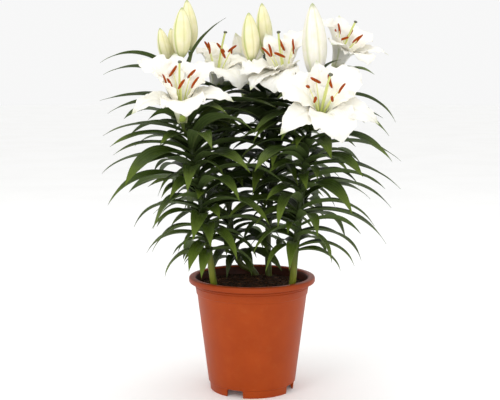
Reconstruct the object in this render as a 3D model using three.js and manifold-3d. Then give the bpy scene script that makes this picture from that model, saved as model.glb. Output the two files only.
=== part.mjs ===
// A potted oriental lily: four leafy stems with open white blooms and cream
// buds, standing in the soil of a round plastic pot.
// Millimetres, +Z up, seen from -Y. The origin is the middle of the pot's foot.

import * as THREE from "three";
import { mergeVertices } from "three/addons/utils/BufferGeometryUtils.js";
import Module from "manifold-3d";

const wasm = await Module();
wasm.setup();

// Driving dimensions

const POT = {
  height: 172,
  footRadius: 64.5,
  topRadius: 86,
  rimRadius: 95,
  rimHeight: 8,
  collarHeight: 18,
  collarStep: 1.2,
  wall: 1.8,
  footHeight: 11.5,
  footStep: 1.4,
  floor: 2.5,
  sides: 28,
};
const NOTCH = { count: 4, width: 26, height: 11.2, first: -114 };
const SOIL = { edge: 159, crown: 162, bump: 1.6, rings: 2 };
const GAP = 0.35;
const TOLERANCE = 0.25;

const STEM = { low: 5.8, high: 3.6, sides: 6 };
const STALK = { radius: 2.5, sides: 4, steps: 4 };

const LEAF = {
  thickness: 1.3,
  widest: 0.42,
  inset: 1,
  short: [0, 0.16, 0.44, 0.74, 1],
  long: [0, 0.13, 0.34, 0.57, 0.8, 1],
};
const GOLDEN_ANGLE = 137.5;
const REACH = { x: 224, y: 166 };

const TEPAL = {
  outer: { length: 114, width: 47, widest: 0.5, rise: 1.7, fall: 0.95, ruffle: 1.2, start: 7 },
  inner: { length: 110, width: 68, widest: 0.56, rise: 3.2, fall: 0.66, ruffle: 3.4, start: 3.8 },
  thickness: 1.1,
  columns: 4,
  stations: [0.05, 0.24, 0.43, 0.62, 0.83, 1],
  funnel: 12,
  throat: 19,
  recurve: 46,
  waves: 3.5,
};
const STAMEN = { length: 52, reach: 22, radius: 0.9, anther: 21, antherRadius: 2.6 };
const PISTIL = { length: 80, radius: 1.7, stigma: 3.6 };

const CELL = 3;
const SAMPLE = 3;

// Each stem is a list of points from its foot in the soil to its top, with its leaves

const STEMS = [
  {
    name: "front_left",
    points: [
      [-46, -34, 84],
      [-56, -42, 165],
      [-64, -47, 225],
      [-74, -48, 290],
      [-85, -38, 350],
      [-94, -20, 405],
      [-105, 4, 466],
    ],
    steps: 9,
    leaves: { count: 45, from: 0.3, to: 0.86, turn: 200 },
  },
  {
    name: "front_right",
    points: [
      [50, -34, 84],
      [59, -42, 165],
      [63, -48, 215],
      [69, -50, 275],
      [76, -42, 340],
      [84, -26, 395],
      [93, -8, 438],
    ],
    steps: 9,
    leaves: { count: 46, from: 0.34, to: 0.92, turn: 340 },
  },
  {
    name: "back_left",
    points: [
      [14, 57, 84],
      [12, 57, 140],
      [3, 57, 167],
      [-16, 56, 178],
      [-29, 54, 205],
      [-34, 51, 255],
      [-41, 47, 320],
      [-50, 40, 405],
    ],
    steps: 15,
    leaves: { count: 36, from: 0.47, to: 0.96, turn: 130 },
  },
  {
    name: "back_right",
    points: [
      [28, 44, 84],
      [26, 50, 165],
      [25, 54, 220],
      [29, 52, 290],
      [32, 46, 360],
      [27, 40, 420],
      [16, 34, 474],
    ],
    steps: 9,
    leaves: { count: 36, from: 0.37, to: 0.86, turn: 40 },
  },
];

// Blooms, each where its stalk ends: the axis it faces, its size, and its six
// tepals, each with its turn about the axis, how far it spreads and its size

const BLOOMS = [
  {
    name: "low_right",
    stem: 1,
    base: [94, -74, 402],
    axis: [0.08, -0.66, 0.75],
    size: 0.98,
    tepals: [[-20, 84, 1], [46, 54, 1], [100, 36, 0.85], [158, 66, 1], [224, 86, 1], [288, 78, 1]],
    stalkFrom: 0.8,
  },
  {
    name: "middle",
    stem: 3,
    base: [52, 15, 446],
    axis: [-0.18, -0.3, 0.94],
    size: 0.95,
    tepals: [[112, 34, 0.9], [196, 66, 1], [232, 84, 1], [274, 90, 1], [318, 38, 0.66], [40, 34, 1]],
    stalkFrom: 0.82,
  },
  {
    name: "low_left",
    stem: 0,
    base: [-100, -50, 406],
    axis: [-0.04, -0.42, 0.91],
    size: 0.95,
    tepals: [[342, 78, 1], [40, 42, 1], [98, 40, 1], [168, 28, 1.1], [216, 80, 1], [280, 72, 1]],
    stalkFrom: 0.72,
  },
  {
    name: "high_right",
    stem: 1,
    base: [124, 30, 476],
    axis: [0.3, -0.3, 0.9],
    size: 0.84,
    tepals: [[4, 64, 1], [52, 44, 1], [104, 36, 1], [172, 34, 1], [236, 56, 1], [300, 70, 1]],
    stalkFrom: 0.96,
  },
  {
    name: "middle_left",
    stem: 2,
    base: [-56, 42, 447],
    axis: [0.14, -0.2, 0.97],
    size: 0.93,
    tepals: [[-10, 82, 1], [50, 52, 1], [100, 56, 1], [150, 40, 1], [240, 84, 0.8], [300, 74, 1]],
    stalkFrom: 0.96,
  },
  {
    name: "back",
    stem: 2,
    base: [-10, 84, 440],
    axis: [0.06, 0.6, 0.8],
    size: 0.9,
    tepals: [[10, 74, 1], [70, 60, 1], [130, 76, 1], [190, 52, 1], [250, 48, 1], [310, 38, 1]],
    stalkFrom: 0.93,
  },
];

const BUDS = [
  { name: "left_front", stem: 0, base: [-104, -4, 496], tip: [-102, -4, 571], radius: 14 },
  { name: "left_tall", stem: 0, base: [-92, 26, 508], tip: [-97, 26, 584], radius: 12.5 },
  { name: "left_far", stem: 0, base: [-125, 20, 488], tip: [-137, 20, 542], radius: 10 },
  { name: "left_small", stem: 0, base: [-116, 46, 498], tip: [-123, 48, 543], radius: 8.5 },
  { name: "middle_front", stem: 3, base: [-1, 26, 491], tip: [-5, 26, 565], radius: 13.5 },
  { name: "middle_tall", stem: 3, base: [20, 56, 503], tip: [15, 58, 581], radius: 12.5 },
  { name: "right_ripe", stem: 1, base: [91, -34, 466], tip: [86, -38, 575], radius: 17.5 },
];

// Leaves that stand out on the real plant, each with its own place and reach:
// stem, place along it, turn from +X, length, width, lift and droop

const LARGE_LEAVES = [
  [0, 0.99, 188, 136, 26, 52, 88],
  [0, 0.97, 176, 124, 24, 40, 70],
  [0, 0.96, 96, 92, 20, 40, 76],
  [0, 0.92, 184, 124, 24, 12, 28],
  [0, 0.84, 346, 146, 38, 34, 62],
  [0, 0.86, 196, 122, 28, 30, 64],
  [2, 0.98, 172, 98, 20, 50, 66],
  [2, 0.97, 300, 84, 24, 40, 76],
  [1, 0.86, 200, 122, 34, 44, 92],
  [1, 0.93, 184, 96, 24, 20, 20],
  [1, 0.97, 352, 136, 26, 28, 92],
  [1, 0.92, 335, 128, 25, 14, 66],
  [1, 0.74, 2, 146, 24, 20, 62],
  [1, 0.67, 350, 148, 24, 14, 60],
  [1, 0.6, 6, 144, 25, 14, 66],
  [1, 0.5, 354, 142, 25, 12, 72],
  [1, 0.42, 12, 118, 24, 12, 84],
  [1, 0.355, 352, 100, 21, 26, 96],
  [0, 0.78, 186, 130, 24, 24, 56],
  [0, 0.7, 200, 122, 23, 26, 60],
];

// Numbers drawn one after another from a fixed seed, so each build is alike

let drawn = 20;
function draw(low, high) {
  drawn = (Math.imul(drawn, 1664525) + 1013904223) >>> 0;
  return low + ((high - low) * drawn) / 4294967296;
}

const radians = THREE.MathUtils.degToRad;
const vector = (list) => new THREE.Vector3(...list);
const mix = (a, b, share) => a + (b - a) * share;

function smooth(x, low, high) {
  const t = Math.min(1, Math.max(0, (x - low) / (high - low)));
  return t * t * (3 - 2 * t);
}

// Closed meshes to solids that can be joined and cut, and back

function solidOf(geometry) {
  const loose = geometry.index ? geometry.toNonIndexed() : geometry;
  const bare = new THREE.BufferGeometry().setAttribute("position", loose.getAttribute("position"));
  const merged = mergeVertices(bare, 1e-3);
  const index = merged.index.array;
  const corners = [];
  for (let i = 0; i < index.length; i += 3) {
    const [a, b, c] = index.slice(i, i + 3);
    if (a !== b && b !== c && c !== a) corners.push(a, b, c);
  }
  const vertProperties = merged.attributes.position.array;
  return new wasm.Manifold(
    new wasm.Mesh({ numProp: 3, vertProperties, triVerts: new Uint32Array(corners) }),
  );
}

function geometryOf(solid) {
  const mesh = solid.getMesh();
  const geometry = new THREE.BufferGeometry();
  geometry.setAttribute("position", new THREE.BufferAttribute(mesh.vertProperties, 3));
  geometry.setIndex(new THREE.BufferAttribute(mesh.triVerts, 1));
  return geometry;
}

// Joins closed meshes into one, with no pocket sealed in between them, and
// merges the slivers of triangle that the cuts leave within the tolerance

function joined(geometries) {
  const whole = geometries.map(solidOf).reduce((a, b) => a.add(b));
  const shells = whole.decompose().filter((shell) => shell.volume() > 0);
  return geometryOf(shells.reduce((a, b) => a.add(b)).simplify(TOLERANCE));
}

// Moves every vertex of a geometry to where place(position, uv) says

function reshaped(geometry, place) {
  const position = geometry.getAttribute("position");
  const uv = geometry.getAttribute("uv");
  const at = new THREE.Vector3();
  for (let i = 0; i < position.count; i++) {
    at.fromBufferAttribute(position, i);
    const to = place(at, uv.getX(i), uv.getY(i));
    position.setXYZ(i, to.x, to.y, to.z);
  }
  return geometry;
}

// A thin closed blade: two sheets over the same grid, which meet at the edges.
// place(q, s) is its middle surface, q from -1 to 1 across and s from 0 to 1 along.

function blade(columns, stations, thickness, place) {
  const step = 1e-3;
  const rows = stations.length - 1;
  const sheet = (side) => {
    const plane = new THREE.PlaneGeometry(2, 1, columns, rows);
    reshaped(plane, (at) => {
      const q = at.x;
      const row = Math.round((at.y + 0.5) * rows);
      const s = stations[row];
      const middle = place(q, s);
      const edge = Math.abs(q) > 0.999 || row === 0 || row === rows;
      if (edge) return middle;
      const across = place(q + step, s).sub(place(q - step, s));
      const along = place(q, s + step).sub(place(q, s - step));
      const normal = across.cross(along).normalize();
      return middle.addScaledVector(normal, (side * thickness) / 2);
    });
    return plane.toNonIndexed();
  };
  const [upper, lower] = [sheet(1), sheet(-1)];
  const top = upper.getAttribute("position").array;
  const bottom = lower.getAttribute("position").array;
  const all = new Float32Array(top.length + bottom.length);
  all.set(top);
  for (let i = 0; i < bottom.length; i += 9) {
    all.set(bottom.subarray(i, i + 3), top.length + i);
    all.set(bottom.subarray(i + 6, i + 9), top.length + i + 3);
    all.set(bottom.subarray(i + 3, i + 6), top.length + i + 6);
  }
  return new THREE.BufferGeometry().setAttribute("position", new THREE.BufferAttribute(all, 3));
}

// A closed tube along a curve, with a radius that may change. Its foot may be
// lifted along the curve, off the bottom of the hole that it stands in.

function tube(curve, steps, sides, radiusAt, lifted = 0) {
  const frames = curve.computeFrenetFrames(steps);
  const geometry = new THREE.CylinderGeometry(1, 1, 1, sides, steps);
  return reshaped(geometry, (at) => {
    const share = at.y + 0.5;
    const i = Math.round(share * steps);
    const radius = radiusAt(share);
    return curve
      .getPointAt(i === 0 ? lifted / curve.getLength() : share)
      .addScaledVector(frames.normals[i], at.x * radius)
      .addScaledVector(frames.binormals[i], -at.z * radius);
  });
}

// The room that is taken, in cells. A cell remembers the plant and the item in
// it, so that leaves and tepals can be bent until they are clear of the others.

const room = new Map();
const cell = (value) => Math.floor(value / CELL) + 512;
const cellKey = (i, j, k) => (i * 1024 + j) * 1024 + k;

function claim(points, plant, item) {
  for (const { at } of points) {
    room.set(cellKey(cell(at.x), cell(at.y), cell(at.z)), { plant, item });
  }
}

function isClear(points, plant, item) {
  for (const { at, root } of points) {
    const [i, j, k] = [cell(at.x), cell(at.y), cell(at.z)];
    for (let n = 0; n < 27; n++) {
      const key = cellKey(i + (n % 3) - 1, j + (Math.floor(n / 3) % 3) - 1, k + Math.floor(n / 9) - 1);
      const other = room.get(key);
      if (!other || other.item === item) continue;
      if (root && other.plant === plant) continue;
      return false;
    }
  }
  return true;
}

// Points spread over a blade, a few millimetres apart. Those near its root may
// touch the plant that it grows from.

function samples(place, length, width, rootShare) {
  const rows = Math.ceil(length / SAMPLE);
  const columns = Math.ceil(width / SAMPLE);
  const points = [];
  for (let i = 1; i <= rows; i++) {
    for (let j = 0; j <= columns; j++) {
      const s = i / rows;
      points.push({ at: place((2 * j) / columns - 1, s), root: s < rootShare });
    }
  }
  return points;
}

function tubeSamples(curve, radiusAt) {
  const steps = Math.ceil(curve.getLength() / SAMPLE);
  const points = [];
  for (let i = 0; i <= steps; i++) {
    const centre = curve.getPoint(i / steps);
    const radius = radiusAt(i / steps);
    const around = Math.max(6, Math.ceil((2 * Math.PI * radius) / SAMPLE));
    for (let n = 0; n < around; n++) {
      const turn = (n * 2 * Math.PI) / around;
      const out = new THREE.Vector3(Math.cos(turn), Math.sin(turn), 0);
      points.push({ at: centre.clone().addScaledVector(out, radius) });
    }
  }
  return points;
}

// The pot: a thin tapered shell with a rolled rim, a stepped foot with notches
// and a raised floor

function potRadius(z) {
  return mix(POT.footRadius, POT.topRadius, z / POT.height);
}

function makePot() {
  const top = POT.height;
  const collar = top - POT.rimHeight - POT.collarHeight;
  const floorTop = POT.footHeight + POT.floor;
  const inner = (z) => potRadius(z) - POT.wall;
  const foot = potRadius(0) - POT.footStep;
  const outline = [
    [0, POT.footHeight],
    [foot - POT.wall - 4, POT.footHeight],
    [foot - POT.wall, 0],
    [foot, 0],
    [foot + 1, POT.footHeight],
    [potRadius(POT.footHeight), POT.footHeight + 1.2],
    [potRadius(collar), collar],
    [potRadius(collar) + POT.collarStep, collar + 1.2],
    [potRadius(top - POT.rimHeight) + POT.collarStep, top - POT.rimHeight],
    [POT.rimRadius - 2.5, top - POT.rimHeight - 0.5],
    [POT.rimRadius, top - POT.rimHeight + 2.5],
    [POT.rimRadius, top - 2.5],
    [POT.rimRadius - 3, top],
    [inner(top) + 2, top],
    [inner(top), top - 3],
    [inner(floorTop + 4), floorTop + 4],
    [inner(floorTop) - 4, floorTop],
    [0, floorTop],
  ];
  const points = outline.map(([r, z]) => new THREE.Vector2(r, z));
  const shell = new THREE.LatheGeometry(points, POT.sides);
  shell.rotateX(Math.PI / 2);
  let solid = solidOf(shell);
  for (let n = 0; n < NOTCH.count; n++) {
    const turn = radians(NOTCH.first + (360 / NOTCH.count) * n);
    const cutter = new THREE.BoxGeometry(40, NOTCH.width, NOTCH.height * 2);
    cutter.translate(POT.footRadius, 0, 0).rotateZ(turn);
    solid = solid.subtract(solidOf(cutter));
  }
  return geometryOf(solid);
}

// Stems

const stemCurves = STEMS.map(
  ({ points }) => new THREE.CatmullRomCurve3(points.map(vector), false, "catmullrom", 0.5),
);
const stemRadius = (share) => mix(STEM.low, STEM.high, share);

// A stalk leaves its stem and ends behind a bloom or bud, along its axis

function stalkCurve(curve, from, base, axis) {
  const start = curve.getPoint(from);
  const pull = start.distanceTo(base) * 0.45;
  const leaving = curve.getTangent(from).multiplyScalar(pull).add(start);
  const arriving = base.clone().addScaledVector(axis, -pull);
  return new THREE.CubicBezierCurve3(start, leaving, arriving, base);
}

const stalkRadius = (share) => STALK.radius + 1.1 * smooth(share, 0.85, 1);

// A bud: six ridged tepals folded to a point

function budRadius(bud, s) {
  const belly = Math.pow(Math.sin(Math.PI * Math.pow(s, 0.84)), 0.68);
  return Math.max(bud.radius * belly, s < 0.5 ? 3.4 * (1 - s) : 0);
}

function makeBud(bud, length) {
  const geometry = new THREE.SphereGeometry(1, 9, 5);
  return reshaped(geometry, (at, u, v) => {
    const turn = 2 * Math.PI * u;
    const ridge = 1 + 0.07 * Math.cos(3 * turn) * Math.sin(Math.PI * v);
    const ends = v > 0 && v < 1 ? 1 : 0;
    const radius = budRadius(bud, v) * ridge * ends;
    return new THREE.Vector3(Math.cos(turn) * radius, Math.sin(turn) * radius, v * length);
  });
}

// A tepal's middle surface in its bloom's frame: a midline that opens from the
// axis, a cross-section that is rolled at the throat, and a waved edge

function tepalSurface(kind, spread, turn, phase) {
  const open = (s) => {
    const lean = mix(TEPAL.funnel, spread, smooth(s, 0.2, 0.6));
    return lean + TEPAL.recurve * smooth(s, 0.58, 1);
  };
  const steps = 24;
  const width = (s) => {
    if (s < kind.widest) {
      return 0.14 + 0.86 * Math.pow(Math.sin(((Math.PI / 2) * s) / kind.widest), kind.rise);
    }
    const past = (s - kind.widest) / (1 - kind.widest);
    return Math.pow(Math.max(0, Math.cos((Math.PI / 2) * past)), kind.fall);
  };
  return (q, s) => {
    let [r, h] = [kind.start, 0];
    for (let i = 0; i < steps; i++) {
      const angle = radians(open(((i + 0.5) / steps) * s));
      r += (Math.sin(angle) * kind.length * s) / steps;
      h += (Math.cos(angle) * kind.length * s) / steps;
    }
    const angle = radians(open(s));
    const half = (kind.width / 2) * width(s);
    const bend = Math.max(0.05, Math.cos(angle)) / (r + 2);
    const side = Math.sin(q * half * bend) / bend;
    const cup = (1 - Math.cos(q * half * bend)) / bend;
    const wave = Math.cos(2 * Math.PI * TEPAL.waves * s + (q < 0 ? phase : phase + 0.8));
    const edge = Math.pow(Math.abs(q), 2.5) * smooth(s, 0.42, 0.65) * smooth(s, 1, 0.88);
    const groove = 1.1 * Math.exp(-Math.pow(q / 0.14, 2)) * smooth(s, 0.1, 0.35) * smooth(s, 1, 0.9);
    const out = kind.ruffle * wave * edge + groove - cup;
    const radius = r + out * Math.cos(angle);
    const [c, n] = [Math.cos(radians(turn)), Math.sin(radians(turn))];
    return new THREE.Vector3(
      radius * c - side * n,
      radius * n + side * c,
      h - out * Math.sin(angle),
    );
  };
}

// A bloom's frame: where it is and the way that it faces

function bloomMatrix({ base, axis, size }) {
  const up = vector(axis).normalize();
  const right = new THREE.Vector3(1, 0, 0).addScaledVector(up, -up.x).normalize();
  const away = up.clone().cross(right);
  const turned = new THREE.Matrix4().makeBasis(right, away, up);
  return turned.scale(new THREE.Vector3(size, size, size)).setPosition(vector(base));
}

// Ways to bend a tepal, by turn, spread and size, the smallest change first

const TEPAL_BENDS = [];
for (const size of [1, 0.88, 0.76]) {
  for (let turn = -24; turn <= 24; turn += 8) {
    for (let spread = -28; spread <= 28; spread += 7) {
      const change = Math.abs(turn) + Math.abs(spread) + (1 - size) * 120;
      TEPAL_BENDS.push({ turn, spread, size, change });
    }
  }
}
TEPAL_BENDS.sort((a, b) => a.change - b.change);

// The six tepals of a bloom, each bent until it is clear of the other plants

function placeTepals(bloom, item) {
  const matrix = bloomMatrix(bloom);
  const placed = bloom.tepals.map(([turn, spread, size], n) => {
    const kind = n % 2 === 0 ? TEPAL.outer : TEPAL.inner;
    const phase = draw(0, 6);
    for (const bend of TEPAL_BENDS) {
      const scale = size * bend.size;
      const sized = { ...kind, length: kind.length * scale, width: kind.width * scale };
      const surface = tepalSurface(sized, spread + bend.spread, turn + bend.turn, phase);
      const points = samples(surface, sized.length, sized.width, 0.3);
      for (const { at } of points) at.applyMatrix4(matrix);
      if (isClear(points, bloom.stem, item)) return { surface, points };
    }
    throw new Error(`${bloom.name}: no room for tepal ${n}`);
  });
  for (const { points } of placed) claim(points, bloom.stem, item);
  return placed.map(({ surface }) => surface);
}

function makeTepals(surfaces) {
  const outline = [
    [0, 0],
    [3.6, 0],
    [8.4, 4.5],
    [12, TEPAL.throat],
    [0, TEPAL.throat],
  ];
  const cup = new THREE.LatheGeometry(outline.map(([r, z]) => new THREE.Vector2(r, z)), 8);
  cup.rotateX(Math.PI / 2);
  const blades = surfaces.map((surface) =>
    blade(TEPAL.columns, TEPAL.stations, TEPAL.thickness, surface),
  );
  return joined([cup, ...blades]);
}

// Six stamens with swinging anthers round a pistil with a three-lobed stigma

function stamenParts(bloom, index) {
  const low = TEPAL.throat + GAP;
  const parts = [];
  for (let n = 0; n < 6; n++) {
    const turn = radians(60 * n + 24 * index + 8 * Math.sin(3 * index + n));
    const out = new THREE.Vector3(Math.cos(turn), Math.sin(turn), 0);
    const [reach, height] = [
      STAMEN.reach * (1 + 0.14 * Math.sin(5 * n + index)),
      STAMEN.length * (1 + 0.05 * Math.cos(4 * n + index)),
    ];
    const start = out.clone().multiplyScalar(3.4).setZ(low + 0.6);
    const waist = out.clone().multiplyScalar(reach * 0.32).setZ(low + height * 0.55);
    const end = out.clone().multiplyScalar(reach).setZ(low + height);
    const tilt = 0.9 * Math.sin(7 * n + 2 * index);
    const side = new THREE.Vector3(-out.y, out.x, 0);
    const lie = side.clone().multiplyScalar(Math.sin(tilt)).add(out.clone().multiplyScalar(0.35));
    lie.z = Math.cos(tilt);
    parts.push({ filament: new THREE.QuadraticBezierCurve3(start, waist, end), end, lie: lie.normalize() });
  }
  const top = new THREE.Vector3(3.5, -2, low + PISTIL.length);
  const style = new THREE.QuadraticBezierCurve3(
    new THREE.Vector3(0, 0, low + 0.6),
    new THREE.Vector3(-2.5, 1.5, low + PISTIL.length / 2),
    top,
  );
  return { parts, style, top };
}

function makeStamens(bloom, index) {
  const { parts, style, top } = stamenParts(bloom, index);
  const disc = new THREE.CylinderGeometry(4.6, 5.2, 1.8, 8);
  disc.rotateX(Math.PI / 2).translate(0, 0, TEPAL.throat + GAP + 0.9);
  const solids = [disc, tube(style, 3, 4, () => PISTIL.radius)];
  for (const { filament, end, lie } of parts) {
    solids.push(tube(filament, 2, 3, () => STAMEN.radius));
    const anther = new THREE.SphereGeometry(1, 4, 2);
    anther.scale(STAMEN.antherRadius, STAMEN.anther / 2, STAMEN.antherRadius);
    anther.applyQuaternion(new THREE.Quaternion().setFromUnitVectors(new THREE.Vector3(0, 1, 0), lie));
    solids.push(anther.translate(end.x, end.y, end.z));
  }
  const stigma = new THREE.SphereGeometry(1, 6, 3);
  reshaped(stigma, (at, u) => {
    const lobe = 1 + 0.22 * Math.cos(6 * Math.PI * u);
    return new THREE.Vector3(
      at.x * PISTIL.stigma * lobe,
      at.z * -PISTIL.stigma * lobe,
      at.y * 1.8,
    ).add(top);
  });
  solids.push(stigma);
  return joined(solids);
}

function stamenSamples(bloom, index) {
  const matrix = bloomMatrix(bloom);
  const { parts, style } = stamenParts(bloom, index);
  const curves = [...parts.map(({ filament }) => filament), style];
  const points = curves.flatMap((curve) => tubeSamples(curve, () => STAMEN.radius));
  for (const { end, lie } of parts) {
    for (const share of [-0.5, -0.25, 0, 0.25, 0.5]) {
      points.push({ at: end.clone().addScaledVector(lie, share * STAMEN.anther) });
    }
  }
  return points.map(({ at }) => ({ at: at.applyMatrix4(matrix) }));
}

// A leaf's middle surface: it leaves its stem at a lift, droops along its
// length, and is folded up along its rib

function leafSurface({ foot, turn, length, width, lift, droop, sway, roll }) {
  const steps = 24;
  const heading = (s) => {
    const rise = radians(lift - droop * Math.pow(s, 1.25));
    const way = radians(turn + sway * s * s);
    return new THREE.Vector3(
      Math.cos(rise) * Math.cos(way),
      Math.cos(rise) * Math.sin(way),
      Math.sin(rise),
    );
  };
  const outline = (s) => {
    if (s < LEAF.widest) {
      const share = Math.sin(((Math.PI / 2) * s) / LEAF.widest);
      return s > 0 ? mix(0.36, 1, share) : 0;
    }
    const past = (s - LEAF.widest) / (1 - LEAF.widest);
    return Math.pow(Math.max(0, Math.cos((Math.PI / 2) * past)), 1.15);
  };
  return (q, s) => {
    const at = foot.clone();
    for (let i = 0; i < steps; i++) {
      at.addScaledVector(heading(((i + 0.5) / steps) * s), (length * s) / steps);
    }
    const ahead = heading(s);
    const way = radians(turn + sway * s * s);
    const level = new THREE.Vector3(-Math.sin(way), Math.cos(way), 0);
    const up = ahead.clone().cross(level);
    const twist = radians(roll * s);
    const across = level.clone().multiplyScalar(Math.cos(twist)).addScaledVector(up, Math.sin(twist));
    const above = up.clone().multiplyScalar(Math.cos(twist)).addScaledVector(level, -Math.sin(twist));
    const half = (width / 2) * outline(s);
    const fold = radians(mix(30, 10, s));
    return at
      .addScaledVector(across, -q * half * Math.cos(fold))
      .addScaledVector(above, Math.abs(q) * half * Math.sin(fold));
  };
}

// Leaves keep out of the pot's rim, wall and soil, and reach only so far aside

function hasRoom(points) {
  return points.every(({ at, root }) => {
    if (Math.abs(at.x) > REACH.x || Math.abs(at.y) > REACH.y) return false;
    if (at.z > POT.height + 4 || root) return true;
    const radius = Math.hypot(at.x, at.y);
    return radius > POT.rimRadius + 4 || (radius < 74 && at.z > SOIL.crown + 5);
  });
}

const BENDS = [
  [0, 0, 1],
  [9, 0, 1],
  [-9, 0, 1],
  [0, 9, 1],
  [0, -9, 1],
  [18, 4, 1],
  [-18, 4, 1],
  [0, 16, 0.94],
  [0, -16, 0.94],
  [12, 12, 0.88],
  [-12, 12, 0.88],
  [12, -14, 0.88],
  [-12, -14, 0.88],
  [0, 24, 0.8],
  [0, -22, 0.8],
  [22, 14, 0.74],
  [-22, 14, 0.74],
  [0, 10, 0.64],
  [14, 26, 0.6],
  [-14, 26, 0.6],
  [0, -10, 0.55],
];

const leafBlades = STEMS.map(() => []);
let leafItem = 1000;

function growLeaf(stem, share, turn, length, width, lift, droop, sway, roll) {
  leafItem += 1;
  const out = new THREE.Vector3(Math.cos(radians(turn)), Math.sin(radians(turn)), 0);
  const foot = stemCurves[stem].getPoint(share).addScaledVector(out, LEAF.inset);
  for (const [aside, up, size] of BENDS) {
    const surface = leafSurface({
      foot,
      turn: turn + aside,
      length: length * size,
      width: width * Math.sqrt(size),
      lift: lift + up,
      droop: droop + up / 2,
      sway,
      roll,
    });
    const points = samples(surface, length * size, width, 0.17);
    if (hasRoom(points) && isClear(points, stem, leafItem)) {
      claim(points, stem, leafItem);
      const stations = length * size > 120 ? LEAF.long : LEAF.short;
      leafBlades[stem].push(blade(2, stations, LEAF.thickness, surface));
      return;
    }
  }
}

// Everything that is placed by hand claims its room first

const group = new THREE.Group();
group.name = "potted_lily";

const MATERIALS = {
  pot: new THREE.MeshStandardMaterial({ color: 0xb24a1e, roughness: 0.5 }),
  soil: new THREE.MeshStandardMaterial({ color: 0x2a1a12, roughness: 1 }),
  green: new THREE.MeshStandardMaterial({ color: 0x2d4a1c, roughness: 0.45 }),
  petal: new THREE.MeshStandardMaterial({ color: 0xf6f4ea, roughness: 0.6 }),
  stamen: new THREE.MeshStandardMaterial({ color: 0xb4441c, roughness: 0.8 }),
  bud: new THREE.MeshStandardMaterial({ color: 0xe9e8b4, roughness: 0.55 }),
};

function addMesh(name, geometry, material) {
  const mesh = new THREE.Mesh(geometry, MATERIALS[material]);
  mesh.name = name;
  group.add(mesh);
  return mesh;
}

const stalks = STEMS.map(() => []);
STEMS.forEach((stem, n) => claim(tubeSamples(stemCurves[n], stemRadius), n, n));

for (const bud of BUDS) {
  const [base, tip] = [vector(bud.base), vector(bud.tip)];
  bud.axis = tip.clone().sub(base).normalize();
  bud.length = tip.distanceTo(base);
  const foot = base.clone().addScaledVector(bud.axis, -GAP);
  const stalk = stalkCurve(stemCurves[bud.stem], 0.985, foot, bud.axis);
  stalks[bud.stem].push(stalk);
  claim(tubeSamples(stalk, stalkRadius), bud.stem, bud.stem);
  const spine = new THREE.LineCurve3(base, tip);
  claim(tubeSamples(spine, (s) => budRadius(bud, s)), bud.stem, 100 + BUDS.indexOf(bud));
}

for (const bloom of BLOOMS) {
  const axis = vector(bloom.axis).normalize();
  const base = vector(bloom.base).addScaledVector(axis, -GAP);
  const stalk = stalkCurve(stemCurves[bloom.stem], bloom.stalkFrom, base, axis);
  stalks[bloom.stem].push(stalk);
  claim(tubeSamples(stalk, stalkRadius), bloom.stem, bloom.stem);
}

// Buds, blooms, leaves, then the stems with their leaves and stalks

for (const bud of BUDS) {
  const mesh = addMesh(`bud_${bud.name}`, makeBud(bud, bud.length), "bud");
  mesh.position.set(...bud.base);
  mesh.quaternion.setFromUnitVectors(new THREE.Vector3(0, 0, 1), bud.axis);
}

BLOOMS.forEach((bloom, n) => claim(stamenSamples(bloom, n), bloom.stem, 200 + n));
BLOOMS.forEach((bloom, n) => {
  const matrix = bloomMatrix(bloom);
  const surfaces = placeTepals(bloom, 200 + n);
  const petals = addMesh(`bloom_${bloom.name}_petals`, makeTepals(surfaces), "petal");
  const stamens = addMesh(`bloom_${bloom.name}_stamens`, makeStamens(bloom, n), "stamen");
  for (const mesh of [petals, stamens]) {
    matrix.decompose(mesh.position, mesh.quaternion, mesh.scale);
  }
});

for (const [stem, share, turn, length, width, lift, droop] of LARGE_LEAVES) {
  growLeaf(stem, share, turn, length, width, lift, droop, 0, 0);
}
const most = Math.max(...STEMS.map(({ leaves }) => leaves.count));
for (let i = 0; i < most; i++) {
  STEMS.forEach(({ leaves }, n) => {
    if (i >= leaves.count) return;
    const height = i / (leaves.count - 1);
    const turn = leaves.turn + GOLDEN_ANGLE * i + draw(-9, 9);
    const length = mix(84, 138, smooth(height, 0, 0.42)) * draw(0.9, 1.1);
    const width = mix(22, 29, smooth(height, 0, 0.7)) * draw(0.9, 1.1);
    const lift = mix(22, 40, height) + draw(-7, 7);
    const droop = mix(92, 72, height) + draw(-10, 10);
    const [sway, roll] = [draw(-14, 14), draw(-40, 40)];
    const share = mix(leaves.from, leaves.to, height);
    growLeaf(n, share, turn, length, width, lift, droop, sway, roll);
  });
}

STEMS.forEach(({ name, steps }, n) => {
  const stem = tube(stemCurves[n], steps, STEM.sides, stemRadius, GAP);
  const branches = stalks[n].map((curve) => tube(curve, STALK.steps, STALK.sides, stalkRadius));
  addMesh(`stem_${name}`, joined([stem, ...branches, ...leafBlades[n]]), "green");
});

// The soil, with the plain holes that the stems stand in

function makeSoil() {
  const low = POT.footHeight + POT.floor + GAP;
  const side = (z) => potRadius(z) - POT.wall - GAP;
  const outline = [
    [0, low],
    [side(low) - 5.5, low],
    [side(low + 5), low + 5],
    [side(SOIL.edge), SOIL.edge],
  ];
  for (let n = 1; n < SOIL.rings; n++) {
    const share = n / SOIL.rings;
    outline.push([side(SOIL.edge) * (1 - share), mix(SOIL.edge, SOIL.crown, share)]);
  }
  outline.push([0, SOIL.crown]);
  const points = outline.map(([r, z]) => new THREE.Vector2(r, z));
  const body = new THREE.LatheGeometry(points, POT.sides);
  reshaped(body, (at) => {
    const inside = at.y > SOIL.edge + 0.1 ? 1 : 0;
    const bump = SOIL.bump * Math.sin(at.x * 0.16) * Math.cos(at.z * 0.19 + 1) * inside;
    return new THREE.Vector3(at.x, -at.z, at.y + bump);
  });
  return solidOf(body);
}

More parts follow.
